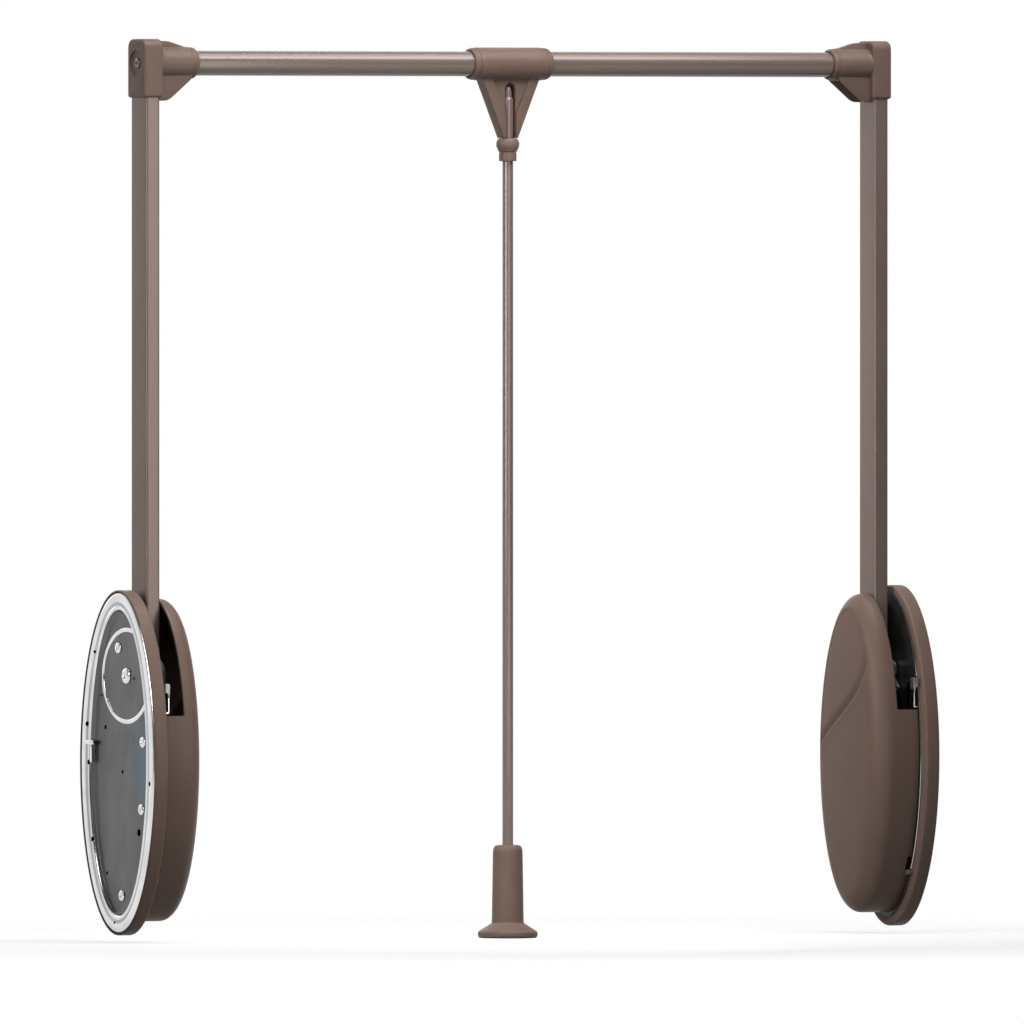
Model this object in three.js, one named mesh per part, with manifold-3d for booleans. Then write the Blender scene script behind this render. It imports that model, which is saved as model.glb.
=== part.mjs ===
import * as THREE from "three";
import { mergeVertices } from "three/addons/utils/BufferGeometryUtils.js";
import Module from "manifold-3d";

// A pull down closet rod: two wall housings, two swinging arms, a telescoping bar and a pull handle.
// Millimetres. +X runs along the bar, -Y is the front, +Z is up. Zero height is the foot of the grip.
// Each side is built with x counted from its own wall inward, and the right side is its mirror image.

// Sizes of the whole
const WALL_SPAN = 920;
const BAR_HEIGHT = 874;
const HOUSING_HEIGHT = 179;
const HOUSING_HALF_TALL = 171.5;
const HOUSING_HALF_DEEP = 73.6;
const HOUSING_THICK = 70;

// Clearances
const GAP = 0.3;
const FIT = 0.15;
const OVERRUN = 5;

// Shell: the painted tray behind the cover
const SHELL_THICK = 16;
const SHELL_SETBACK = 0.6;
const SHELL_WALL = 2.2;
const SHELL_FLOOR = 2;
const SHELL_WINDOW_INSET = 36;

// Wall plate: the pressed steel dish that is screwed to the cabinet side
const PLATE_STEEL = 1.2;
const FLANGE_WIDTH = 20;
const DISH_DEPTH = 6.4;
const BEAD_INSET = 8;
const BEAD_WIDTH = 3.2;
const BEAD_RISE = 0.8;
const PIVOT_RING_RADIUS = 48;
const PIVOT_RING_WIDTH = 4;
const PIVOT_RING_SLOPE = 1;
const PIVOT_RING_RISE = 1;
const WALL_SCREW_HOLE = 2.6;
const VENT_HOLE = 2.2;

// Chassis plate: the steel plate between shell and cover that carries the mechanism
const CHASSIS_INSET = 8.6;
const CHASSIS_STEEL = 1.5;
const GUIDE_TAB_STEEL = 2;
const GUIDE_TAB_HEIGHT = 30;

// Cover
const COVER_INSET = 11.2;
const COVER_WALL = 2.5;
const COVER_ROUND = 12;
const PANEL_INSET = 11;
const PANEL_SINK = 1.2;
const SLOT_SIDE_ROOM = 1.5;
const SLOT_BACK_ROOM = 5;
const SLOT_FOOT_DROP = 39.5;

// Pivot and gearing
const PIVOT_FORWARD = 10;
const PIVOT_TOP_DROP = 85;
const AXLE_RADIUS = 5;
const AXLE_HEAD_RADIUS = 8;
const AXLE_HEAD_TALL = 2.8;
const AXLE_COLLAR_RADIUS = 9;
const BUSH_WALL = 2;
const GEAR_STANDOFF = 1.5;
const GEAR_THICK = 3.6;
const GEAR_HUB_RADIUS = 12;
const GEAR_HUB_TALL = 1.8;
const TEETH_ROUND = 32;
const TEETH_ABOVE = 2;
const TEETH_BELOW = 12;
const PITCH_RADIUS = 24;
const ADDENDUM = 1.2;
const DEDENDUM = 1.6;
const TOOTH_ROOT_SHARE = 0.3;
const TOOTH_TIP_SHARE = 0.13;
const FIRST_RACK_TOOTH = 1.5;
const SWING = (110 * Math.PI) / 180;

// Rack, pull rod, spring and damper
const RACK_BACK = 7;
const RACK_TOP_RISE = 10;
const RACK_FOOT_DROP = 89.5;
const RACK_FOOT_STEEL = 5;
const RACK_FOOT_REACH = 44;
const ROD_RADIUS = 3;
const ROD_HEAD_RADIUS = 5;
const ROD_HEAD_TALL = 3.5;
const ROD_STANDOFF = 33;
const ROD_BACK = 19;
const SPRING_SEAT_DROP = 8;
const SPRING_SEAT_STEEL = 3;
const SPRING_SEAT_TALL = 18;
const SPRING_FOOT_RISE = 46.2;
const SPRING_COIL_RADIUS = 7;
const SPRING_WIRE_RADIUS = 1.2;
const SPRING_TURNS = 8;
const SPRING_STEPS = 8;
const SPRING_SIDES = 5;
const NUT_FLANGE_RADIUS = 9;
const NUT_FLANGE_TALL = 2.5;
const NUT_RADIUS = 5.6;
const NUT_TALL = 5;
const ROD_TAIL = 4;
const DAMPER_FORWARD = 16;
const DAMPER_RADIUS = 9;
const DAMPER_WALL = 4.5;
const DAMPER_TOP_DROP = 20;
const DAMPER_FOOT_RISE = 45.5;
const DAMPER_BASE = 20;
const PISTON_REST_SHARE = 0.163265;
const DAMPER_LUG_WIDTH = 9;
const DAMPER_LUG_TALL = 12;
const DAMPER_LUG_DEEP = 12;
const DAMPER_PIN_RADIUS = 3;
const DAMPER_PIN_HEAD = 5;
const DAMPER_PIN_HEAD_TALL = 2;

// Rivets
const RIVET_RADIUS = 3;
const RIVET_HEAD_RADIUS = 5.5;
const RIVET_HEAD_TALL = 2;
const RIVET_COLLAR_RADIUS = 6;
const HEAD_DOME_SHARE = 0.85;

// Stop hook
const HOOK_STEEL = 2;
const HOOK_HEIGHT = 30;
const HOOK_SLOT_RISE = 2;
const HOOK_FOOT_WIDTH = 14;
const HOOK_TAB_REACH = 6.4;
const HOOK_TAB_PROUD = 5;
const HOOK_TAIL_SHARE = 0.35;

// Arm
const ARM_WIDE = 16;
const ARM_DEEP = 30;
const ARM_WALL = 1.6;
const ARM_CORNER = 3;
const FOOT_RADIUS = 17;
const FOOT_RISE = 30;
const TENON_TALL = 30;
const BUMPER_TALL = 16;
const BUMPER_SIDE_ROOM = 1;

// Bar
const BAR_RADIUS = 12.5;
const TUBE_WALL = 1.2;
const INNER_TUBE_BACK = 125;
const INNER_TUBE_END_ROOM = 57;

// Corner bracket
const BRACKET_WALL = 3;
const BRACKET_SIDE_WALL = 2;
const BRACKET_RISE = 24;
const BRACKET_DROP = 34.5;
const BRACKET_ROUND = 8;
const BRACKET_FOOT_ROUND = 3;
const ARM_TOP_RISE = 16;
const SOCKET_RADIUS = 16.5;
const SOCKET_REACH = 44;
const SOCKET_LIP = 6;
const SOCKET_LIP_SINK = 3;
const BOSS_REACH = 18;
const GUSSET_WALL = 2.2;
const GUSSET_SPREAD = 22;
const GUSSET_DROP = 37.5;
const GUSSET_FLAT = 8;
const TOP_WEB_RISE = 22;
const TOP_WEB_FLAT = 12;
const TOP_WEB_THICK = 5;
const SCREW_RECESS_RADIUS = 12.5;
const SCREW_RECESS_SINK = 0.8;
const SCREW_RADIUS = 2.4;
const SCREW_HEAD_RADIUS = 4.8;
const SCREW_HEAD_TALL = 1.6;
const SCREW_LENGTH = 34;
const SCREW_DRIVE_WIDTH = 1.4;
const SCREW_DRIVE_SINK = 0.8;

// Pull handle
const HANDLE_OFFSET = -5;
const SLEEVE_LENGTH = 92;
const SLEEVE_RADIUS = 16.5;
const SLEEVE_LIP_SINK = 2;
const WEB_THICK = 10;
const WEB_BORDER_THICK = 14;
const WEB_PANEL_INSET = 12;
const WEB_PANEL_RISE = 24;
const WEB_TOP_HALF = 36;
const WEB_FOOT_HALF = 8;
const WEB_DROP = 74;
const WEB_SLOT_HALF = 6.3;
const WEB_SLOT_TOP_DROP = 19;
const WEB_SLOT_BACK_WALL = 1.3;
const POLE_RADIUS = 5.4;
const POLE_NECK_RADIUS = 3.5;
const POLE_NECK_TALL = 12;
const POLE_SHOULDER_DROP = 35;
const COLLAR_RADIUS = 11.6;
const COLLAR_TALL = 13.6;
const COLLAR_BELT_SHARES = [0.6, 0.35];
const FERRULE_RADIUS = 8.8;
const FERRULE_TALL = 9;
const GRIP_HEIGHT = 93;
const GRIP_TOP_RADIUS = 14.8;
const GRIP_FOOT_RADIUS = 16;
const GRIP_ROUND = 5;
const GRIP_FLANGE_RADIUS = 30;
const GRIP_FLANGE_RISE = 14;
const GRIP_RIM_TALL = 3;
const GRIP_MOUTH_RADIUS = 6.6;
const GRIP_MOUTH_SINK = 3;
const GRIP_SOCKET_DEPTH = 55;

// Facet counts
const OVAL_STEPS = 18;
const LARGE_SIDES = 24;
const MEDIUM_SIDES = 16;
const SMALL_SIDES = 12;
const RIVET_SIDES = 8;
const NUT_SIDES = 6;
const ROUND_STEPS = 3;

// Levels from the wall inward, worked out from the sizes above
const shellInner = SHELL_THICK;
const chassisOuter = shellInner + GAP;
const chassisInner = chassisOuter + CHASSIS_STEEL;
const coverRim = chassisInner + GAP;
const gearOuter = chassisInner + GEAR_STANDOFF;
const gearInner = gearOuter + GEAR_THICK;
const armOuter = gearInner + GEAR_HUB_TALL + GAP;
const armInner = armOuter + ARM_WIDE;
const dishOuter = DISH_DEPTH - PLATE_STEEL;

// Heights and places worked out from the sizes above
const housingFoot = HOUSING_HEIGHT - HOUSING_HALF_TALL;
const pivotHeight = HOUSING_HEIGHT + HOUSING_HALF_TALL - PIVOT_TOP_DROP;
const pivotY = -PIVOT_FORWARD;
const toothPitch = (2 * Math.PI * PITCH_RADIUS) / TEETH_ROUND;
const rackTravel = PITCH_RADIUS * SWING;
const rackPitchY = pivotY + PITCH_RADIUS;
const rackBackY = rackPitchY + RACK_BACK;
const rackFootTop = pivotHeight - RACK_FOOT_DROP;
const rackFootBottom = rackFootTop - RACK_FOOT_STEEL;
const seatTop = rackFootBottom - SPRING_SEAT_DROP;
const seatBottom = seatTop - SPRING_SEAT_STEEL;
const springTop = seatBottom - GAP;
const springBottom = housingFoot + SPRING_FOOT_RISE;
const nutTop = springBottom - GAP;
const nutBottom = nutTop - NUT_FLANGE_TALL - NUT_TALL;
const damperTop = rackFootBottom - DAMPER_TOP_DROP;
const damperBottom = housingFoot + DAMPER_FOOT_RISE;
const damperBore = { from: damperBottom + DAMPER_BASE, to: damperTop - DAMPER_WALL };
const pistonFoot = damperBore.from + (damperBore.to - damperBore.from) * PISTON_REST_SHARE;
const damperPinHeight = damperBottom - DAMPER_LUG_TALL / 2;
const armFootTop = pivotHeight + FOOT_RISE;
const slotFoot = pivotHeight - SLOT_FOOT_DROP;
const slotBackY = ARM_DEEP / 2 + SLOT_BACK_ROOM;
const bracketOuter = armOuter - BRACKET_WALL;
const bracketInner = armInner + BRACKET_WALL;
const socketEnd = bracketInner + SOCKET_REACH;
const barInnerRadius = BAR_RADIUS - TUBE_WALL;
const barSeam = HANDLE_OFFSET + SLEEVE_LENGTH / 2;
const innerTubeEnd = WALL_SPAN / 2 - bracketInner - BOSS_REACH - INNER_TUBE_END_ROOM;
const collarTop = BAR_HEIGHT - WEB_DROP - GAP;
const ferruleTop = collarTop - COLLAR_TALL - GAP;

// Places on the oval, as shares of the housing's half depth and half height, counted from its centre
const RIVET_SHARES = {
  top: [0.08, 0.665], mid: [-0.57, 0.122], front: [-0.53, -0.268], low: [-0.014, -0.77],
};
const VENT_SHARES = [[0.37, 0.204], [-0.03, -0.052], [-0.42, -0.402], [0.38, -0.641]];
const WALL_SCREW_SHARES = [[-0.845, -0.117], [0.82, 0.222], [0.68, -0.6], [0.082, 0.921], [0.08, -0.925]];
const PANEL_SHARES = {
  start: [-0.6, 0.62],
  bends: [[[-0.56, 0.54], [-0.52, 0.46], [-0.3, 0.36]], [[-0.12, 0.28], [0.2, 0.19], [0.72, 0]]],
};

const wasm = await Module();
wasm.setup();

const paint = () => new THREE.MeshStandardMaterial({ color: 0x6e5c52, roughness: 0.5, metalness: 0.35 });
const plastic = () => new THREE.MeshStandardMaterial({ color: 0x66544b, roughness: 0.55, metalness: 0 });
const steel = () => new THREE.MeshStandardMaterial({ color: 0xb4b6b8, roughness: 0.3, metalness: 0.9 });
const darkSteel = () => new THREE.MeshStandardMaterial({ color: 0x55565a, roughness: 0.45, metalness: 0.8 });
const bronze = () => new THREE.MeshStandardMaterial({ color: 0x8a6f4c, roughness: 0.5, metalness: 0.6 });
const rubber = () => new THREE.MeshStandardMaterial({ color: 0x1d1c1c, roughness: 0.85, metalness: 0 });

// Turns that carry a shape drawn flat, or a profile turned about y, to its place in the part
const axes = (x, y, z) =>
  new THREE.Matrix4().makeBasis(new THREE.Vector3(...x), new THREE.Vector3(...y), new THREE.Vector3(...z));
const FLAT_TO_X = axes([0, 1, 0], [0, 0, 1], [1, 0, 0]);
const FLAT_TO_Y = axes([1, 0, 0], [0, 0, 1], [0, -1, 0]);
const TURNED_TO_X = axes([0, 1, 0], [1, 0, 0], [0, 0, -1]);
const TURNED_TO_Z = axes([1, 0, 0], [0, 0, 1], [0, -1, 0]);

// A closed three.js geometry as a solid with its faces pointing out.
function solidOf(geometry) {
  const bare = geometry.clone();
  bare.deleteAttribute("normal");
  bare.deleteAttribute("uv");
  const merged = mergeVertices(bare);
  const corners = [];
  for (let i = 0; i < merged.index.count; i += 3) {
    const [a, b, c] = [0, 1, 2].map((k) => merged.index.getX(i + k));
    if (a !== b && b !== c && c !== a) corners.push(a, b, c);
  }
  const build = (triVerts) =>
    new wasm.Manifold(
      new wasm.Mesh({ numProp: 3, vertProperties: merged.attributes.position.array, triVerts }),
    );
  const solid = build(new Uint32Array(corners));
  return solid.volume() > 0 ? solid : build(new Uint32Array(corners.reverse()));
}

// A solid as a geometry that a mesh can show.
function geometryOf(solid) {
  const { numProp, numVert, vertProperties, triVerts } = solid.getMesh();
  const positions = new Float32Array(numVert * 3);
  for (let i = 0; i < numVert; i++) {
    positions.set(vertProperties.subarray(i * numProp, i * numProp + 3), i * 3);
  }
  const geometry = new THREE.BufferGeometry();
  geometry.setAttribute("position", new THREE.BufferAttribute(positions, 3));
  geometry.setIndex(new THREE.BufferAttribute(triVerts, 1));
  geometry.computeVertexNormals();
  return geometry;
}

function addPart(group, name, solid, material) {
  const mesh = new THREE.Mesh(geometryOf(solid), material);
  mesh.name = name;
  group.add(mesh);
}

const joined = (solids) => solids.reduce((whole, piece) => whole.add(piece));
const cutBy = (solid, cutters) => cutters.reduce((whole, cutter) => whole.subtract(cutter), solid);

function box([x0, x1], [y0, y1], [z0, z1]) {
  const geometry = new THREE.BoxGeometry(x1 - x0, y1 - y0, z1 - z0);
  return solidOf(geometry.translate((x0 + x1) / 2, (y0 + y1) / 2, (z0 + z1) / 2));
}

function polygon(points) {
  return new THREE.Shape(points.map(([u, v]) => new THREE.Vector2(u, v)));
}

// A rectangle centred on a point, with one radius at its corners.
function roundedRectangle(centreU, centreV, wide, tall, radius) {
  const [u0, u1] = [centreU - wide / 2, centreU + wide / 2];
  const [v0, v1] = [centreV - tall / 2, centreV + tall / 2];
  const shape = new THREE.Shape();
  shape.absarc(u1 - radius, v0 + radius, radius, -Math.PI / 2, 0);
  shape.absarc(u1 - radius, v1 - radius, radius, 0, Math.PI / 2);
  shape.absarc(u0 + radius, v1 - radius, radius, Math.PI / 2, Math.PI);
  shape.absarc(u0 + radius, v0 + radius, radius, Math.PI, (3 * Math.PI) / 2);
  return shape;
}

function extruded(shape, depth, curveSegments = ROUND_STEPS) {
  return new THREE.ExtrudeGeometry(shape, { depth, curveSegments, bevelEnabled: false });
}

// Flat shapes pushed along one axis: drawn in y and z, in x and z, or in x and y.
function slabX(shape, x0, x1, curveSegments) {
  return solidOf(extruded(shape, x1 - x0, curveSegments).applyMatrix4(FLAT_TO_X).translate(x0, 0, 0));
}

function slabY(shape, y0, y1, curveSegments) {
  return solidOf(extruded(shape, y1 - y0, curveSegments).applyMatrix4(FLAT_TO_Y).translate(0, y1, 0));
}

function slabZ(shape, z0, z1, curveSegments) {
  return solidOf(extruded(shape, z1 - z0, curveSegments).translate(0, 0, z0));
}

// Profiles of [radius, place along the axis], turned about an axis that runs along x or z.
function lathe(profile, sides) {
  return new THREE.LatheGeometry(profile.map(([r, t]) => new THREE.Vector2(r, t)), sides);
}

function turnedX(profile, y, z, sides = SMALL_SIDES) {
  return solidOf(lathe(profile, sides).applyMatrix4(TURNED_TO_X).translate(0, y, z));
}

function turnedZ(profile, x, y, sides = SMALL_SIDES) {
  return solidOf(lathe(profile, sides).applyMatrix4(TURNED_TO_Z).translate(x, y, 0));
}

const rodProfile = (radius, from, to) => [[0, from], [radius, from], [radius, to], [0, to]];
const rodX = (radius, x0, x1, y, z, sides) => turnedX(rodProfile(radius, x0, x1), y, z, sides);
const rodZ = (radius, z0, z1, x, y, sides) => turnedZ(rodProfile(radius, z0, z1), x, y, sides);

// The housing's oval, drawn a distance inside its outline.
function oval(inset) {
  const shape = new THREE.Shape();
  shape.absellipse(0, HOUSING_HEIGHT, HOUSING_HALF_DEEP - inset, HOUSING_HALF_TALL - inset, 0, 2 * Math.PI);
  return shape;
}

const ovalSlab = (inset, x0, x1) => slabX(oval(inset), x0, x1, OVAL_STEPS);
const placeOnOval = ([depthShare, heightShare]) => [
  depthShare * HOUSING_HALF_DEEP,
  HOUSING_HEIGHT + heightShare * HOUSING_HALF_TALL,
];

// Rivet and pivot holes through everything between two levels.
function mechanismHoles(x0, x1) {
  const holes = Object.values(RIVET_SHARES).map((shares) =>
    rodX(RIVET_RADIUS + FIT, x0, x1, ...placeOnOval(shares), RIVET_SIDES),
  );
  return [...holes, rodX(AXLE_RADIUS + FIT, x0, x1, pivotY, pivotHeight, MEDIUM_SIDES)];
}

function shell() {
  const tray = ovalSlab(0, SHELL_SETBACK, shellInner).subtract(
    ovalSlab(SHELL_WALL, -OVERRUN, shellInner - SHELL_FLOOR),
  );
  const window = ovalSlab(SHELL_WINDOW_INSET, 0, shellInner + OVERRUN).intersect(
    box(
      [0, shellInner + OVERRUN], [-HOUSING_HALF_DEEP, HOUSING_HALF_DEEP],
      [-HOUSING_HALF_TALL, HOUSING_HEIGHT],
    ),
  );
  return cutBy(tray, [window, ...mechanismHoles(0, shellInner + OVERRUN)]);
}

function wallPlate() {
  const edge = SHELL_WALL + GAP;
  const dishEdge = edge + FLANGE_WIDTH;
  const beadInner = edge + BEAD_INSET + BEAD_WIDTH;
  const plate = joined([
    ovalSlab(edge, 0, PLATE_STEEL).subtract(ovalSlab(dishEdge, -OVERRUN, OVERRUN)),
    ovalSlab(edge + BEAD_INSET, 0, PLATE_STEEL + BEAD_RISE).subtract(ovalSlab(beadInner, -OVERRUN, OVERRUN)),
    ovalSlab(dishEdge - PLATE_STEEL, 0, DISH_DEPTH).subtract(ovalSlab(dishEdge, -OVERRUN, dishOuter)),
    turnedX(
      [
        [PIVOT_RING_RADIUS - PIVOT_RING_WIDTH, dishOuter + PLATE_STEEL / 2],
        [PIVOT_RING_RADIUS, dishOuter + PLATE_STEEL / 2],
        [PIVOT_RING_RADIUS - PIVOT_RING_SLOPE, dishOuter - PIVOT_RING_RISE],
        [PIVOT_RING_RADIUS - PIVOT_RING_WIDTH + PIVOT_RING_SLOPE, dishOuter - PIVOT_RING_RISE],
        [PIVOT_RING_RADIUS - PIVOT_RING_WIDTH, dishOuter + PLATE_STEEL / 2],
      ],
      pivotY,
      pivotHeight,
      LARGE_SIDES,
    ).intersect(ovalSlab(dishEdge - PLATE_STEEL / 2, -OVERRUN, DISH_DEPTH)),
  ]);
  const holes = [
    ...VENT_SHARES.map((shares) => rodX(VENT_HOLE, 0, SHELL_THICK, ...placeOnOval(shares), RIVET_SIDES)),
    ...WALL_SCREW_SHARES.map((shares) =>
      rodX(WALL_SCREW_HOLE, -OVERRUN, SHELL_THICK, ...placeOnOval(shares), RIVET_SIDES),
    ),
  ];
  return cutBy(plate, [...holes, ...mechanismHoles(-OVERRUN, SHELL_THICK)]);
}

function chassisPlate() {
  const guideFoot = pivotHeight - GUIDE_TAB_HEIGHT / 2;
  const guideTab = box(
    [chassisOuter, gearInner],
    [rackBackY + GAP, rackBackY + GAP + GUIDE_TAB_STEEL],
    [guideFoot, guideFoot + GUIDE_TAB_HEIGHT],
  );
  const plate = ovalSlab(CHASSIS_INSET, chassisOuter, chassisInner).add(guideTab);
  const pinHole = rodX(
    DAMPER_PIN_RADIUS + FIT, chassisOuter - OVERRUN, chassisInner + OVERRUN, -DAMPER_FORWARD, damperPinHeight,
    SMALL_SIDES,
  );
  return cutBy(plate, [pinHole, ...mechanismHoles(chassisOuter - OVERRUN, chassisInner + OVERRUN)]);
}

// The cover's rounded body, or the hollow in it when a wall thickness is taken off.
function coverBody(wall) {
  const round = COVER_ROUND - wall;
  const options = {
    depth: HOUSING_THICK - COVER_ROUND - coverRim,
    bevelThickness: round,
    bevelSize: round,
    bevelOffset: -round,
    bevelSegments: ROUND_STEPS,
    curveSegments: OVAL_STEPS,
  };
  const geometry = new THREE.ExtrudeGeometry(oval(COVER_INSET + wall), options);
  return solidOf(geometry.applyMatrix4(FLAT_TO_X).translate(coverRim, 0, 0));
}

// The upper panel's outline: the oval above a flowing step that falls from front to back.
function coverPanelCutter() {
  const [first, second] = PANEL_SHARES.bends.map((bend) => bend.map(placeOnOval).flat());
  const high = HOUSING_HEIGHT + HOUSING_HALF_TALL;
  const shape = new THREE.Shape();
  shape.moveTo(-HOUSING_HALF_DEEP, high);
  shape.lineTo(-HOUSING_HALF_DEEP, placeOnOval(PANEL_SHARES.start)[1]);
  shape.lineTo(...placeOnOval(PANEL_SHARES.start));
  shape.bezierCurveTo(...first);
  shape.bezierCurveTo(...second);
  shape.lineTo(HOUSING_HALF_DEEP, HOUSING_HEIGHT);
  shape.lineTo(HOUSING_HALF_DEEP, high);
  const levels = [HOUSING_THICK - PANEL_SINK, HOUSING_THICK + OVERRUN];
  return slabX(shape, ...levels, 2 * ROUND_STEPS).intersect(ovalSlab(COVER_INSET + PANEL_INSET, ...levels));
}

function cover() {
  const rimCut = box(
    [-HOUSING_THICK, coverRim],
    [-HOUSING_HALF_DEEP, HOUSING_HALF_DEEP],
    [HOUSING_HEIGHT - HOUSING_HALF_TALL, HOUSING_HEIGHT + HOUSING_HALF_TALL],
  );
  const armSlot = box(
    [coverRim - OVERRUN, armInner + SLOT_SIDE_ROOM],
    [-HOUSING_HALF_DEEP, slotBackY],
    [slotFoot, HOUSING_HEIGHT + HOUSING_HALF_TALL],
  );
  return cutBy(coverBody(0), [coverBody(COVER_WALL), rimCut, armSlot, coverPanelCutter()]);
}

// A domed head from the wall side, a shank, a collar between plate and shell, and a flat tail.
function standoffRivet(headRadius, headTall, radius, collarRadius, tailFrom, tailRadius, tailTall) {
  const headFoot = dishOuter - GAP;
  const [collarFrom, collarTo] = [DISH_DEPTH + GAP, shellInner - SHELL_FLOOR - GAP];
  return [
    [0, headFoot - headTall],
    [headRadius / 2, headFoot - headTall * HEAD_DOME_SHARE],
    [headRadius, headFoot],
    [radius, headFoot],
    [radius, collarFrom],
    [collarRadius, collarFrom],
    [collarRadius, collarTo],
    [radius, collarTo],
    [radius, tailFrom],
    [tailRadius, tailFrom],
    [tailRadius, tailFrom + tailTall],
    [0, tailFrom + tailTall],
  ];
}

function rivet(shares) {
  const tailFrom = chassisInner + GAP;
  const tailTall = GEAR_STANDOFF - 2 * GAP;
  const profile = standoffRivet(
    RIVET_HEAD_RADIUS, RIVET_HEAD_TALL, RIVET_RADIUS, RIVET_COLLAR_RADIUS, tailFrom,
    RIVET_HEAD_RADIUS, tailTall,
  );
  return turnedX(profile, ...placeOnOval(shares), RIVET_SIDES);
}

function pivotAxle() {
  const tailFrom = armInner + GAP;
  const profile = standoffRivet(
    AXLE_HEAD_RADIUS, AXLE_HEAD_TALL, AXLE_RADIUS, AXLE_COLLAR_RADIUS, tailFrom,
    AXLE_HEAD_RADIUS, AXLE_HEAD_TALL,
  );
  return turnedX(profile, pivotY, pivotHeight, MEDIUM_SIDES);
}

function springSeat() {
  const back = [ROD_BACK - NUT_FLANGE_RADIUS - FIT, ROD_BACK + NUT_FLANGE_RADIUS];
  const root = chassisInner + GAP;
  const seat = box([root, ROD_STANDOFF + NUT_FLANGE_RADIUS], back, [seatBottom, seatTop]);
  const flange = box([root, root + SPRING_SEAT_STEEL], back, [seatTop - SPRING_SEAT_TALL, seatTop]);
  return seat
    .add(flange)
    .subtract(rodZ(ROD_RADIUS + FIT, seatBottom - OVERRUN, seatTop + OVERRUN, ROD_STANDOFF, ROD_BACK));
}

// A compression spring as one tube swept along a helix, with its ends closed.
function spring() {
  const inner = {
    rise: springTop - springBottom - 2 * SPRING_WIRE_RADIUS, from: springBottom + SPRING_WIRE_RADIUS,
  };
  const rings = SPRING_TURNS * SPRING_STEPS;
  const positions = [];
  const index = [];
  const vertexOf = (ring, side) => ring * SPRING_SIDES + (side % SPRING_SIDES);
  for (let ring = 0; ring <= rings; ring++) {
    const turn = (2 * Math.PI * ring) / SPRING_STEPS;
    for (let side = 0; side < SPRING_SIDES; side++) {
      const angle = (2 * Math.PI * side) / SPRING_SIDES;
      const radius = SPRING_COIL_RADIUS + SPRING_WIRE_RADIUS * Math.cos(angle);
      const height = inner.from + (inner.rise * ring) / rings + SPRING_WIRE_RADIUS * Math.sin(angle);
      positions.push(ROD_STANDOFF + radius * Math.cos(turn), ROD_BACK + radius * Math.sin(turn), height);
    }
  }
  for (let ring = 0; ring < rings; ring++) {
    for (let side = 0; side < SPRING_SIDES; side++) {
      const [a, b] = [vertexOf(ring, side), vertexOf(ring, side + 1)];
      const [c, d] = [vertexOf(ring + 1, side), vertexOf(ring + 1, side + 1)];
      index.push(a, c, b, b, c, d);
    }
  }
  for (let side = 1; side < SPRING_SIDES - 1; side++) {
    index.push(vertexOf(0, 0), vertexOf(0, side), vertexOf(0, side + 1));
    index.push(vertexOf(rings, 0), vertexOf(rings, side + 1), vertexOf(rings, side));
  }
  const geometry = new THREE.BufferGeometry();
  geometry.setAttribute("position", new THREE.Float32BufferAttribute(positions, 3));
  geometry.setIndex(index);
  return solidOf(geometry);
}

function damperBody() {
  const barrel = turnedZ(
    [
      [0, damperBottom],
      [DAMPER_RADIUS, damperBottom],
      [DAMPER_RADIUS, damperTop],
      [ROD_RADIUS + FIT, damperTop],
      [ROD_RADIUS + FIT, damperBore.to],
      [DAMPER_RADIUS - DAMPER_WALL, damperBore.to],
      [DAMPER_RADIUS - DAMPER_WALL, damperBore.from],
      [0, damperBore.from],
    ],
    ROD_STANDOFF,
    -DAMPER_FORWARD,
    MEDIUM_SIDES,
  );
  const lug = box(
    [ROD_STANDOFF - DAMPER_LUG_WIDTH / 2, ROD_STANDOFF + DAMPER_LUG_WIDTH / 2],
    [-DAMPER_FORWARD - DAMPER_LUG_DEEP / 2, -DAMPER_FORWARD + DAMPER_LUG_DEEP / 2],
    [damperBottom - DAMPER_LUG_TALL, damperBottom + DAMPER_WALL],
  );
  const eye = rodX(DAMPER_PIN_RADIUS + FIT, 0, HOUSING_THICK, -DAMPER_FORWARD, damperPinHeight, SMALL_SIDES);
  return barrel.add(lug).subtract(eye);
}

// The lower pin of the damper, riveted in the chassis plate with a shoulder against it.
function damperPin() {
  const shoulderFrom = chassisInner + GAP;
  const shoulderTo = ROD_STANDOFF - DAMPER_LUG_WIDTH / 2 - GAP;
  const headFrom = ROD_STANDOFF + DAMPER_LUG_WIDTH / 2 + GAP;
  return turnedX(
    [
      [0, chassisOuter],
      [DAMPER_PIN_RADIUS, chassisOuter],
      [DAMPER_PIN_RADIUS, shoulderFrom],
      [DAMPER_PIN_HEAD, shoulderFrom],
      [DAMPER_PIN_HEAD, shoulderTo],
      [DAMPER_PIN_RADIUS, shoulderTo],
      [DAMPER_PIN_RADIUS, headFrom],
      [DAMPER_PIN_HEAD, headFrom],
      [DAMPER_PIN_HEAD, headFrom + DAMPER_PIN_HEAD_TALL],
      [0, headFrom + DAMPER_PIN_HEAD_TALL],
    ],
    -DAMPER_FORWARD,
    damperPinHeight,
    SMALL_SIDES,
  );
}

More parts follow.
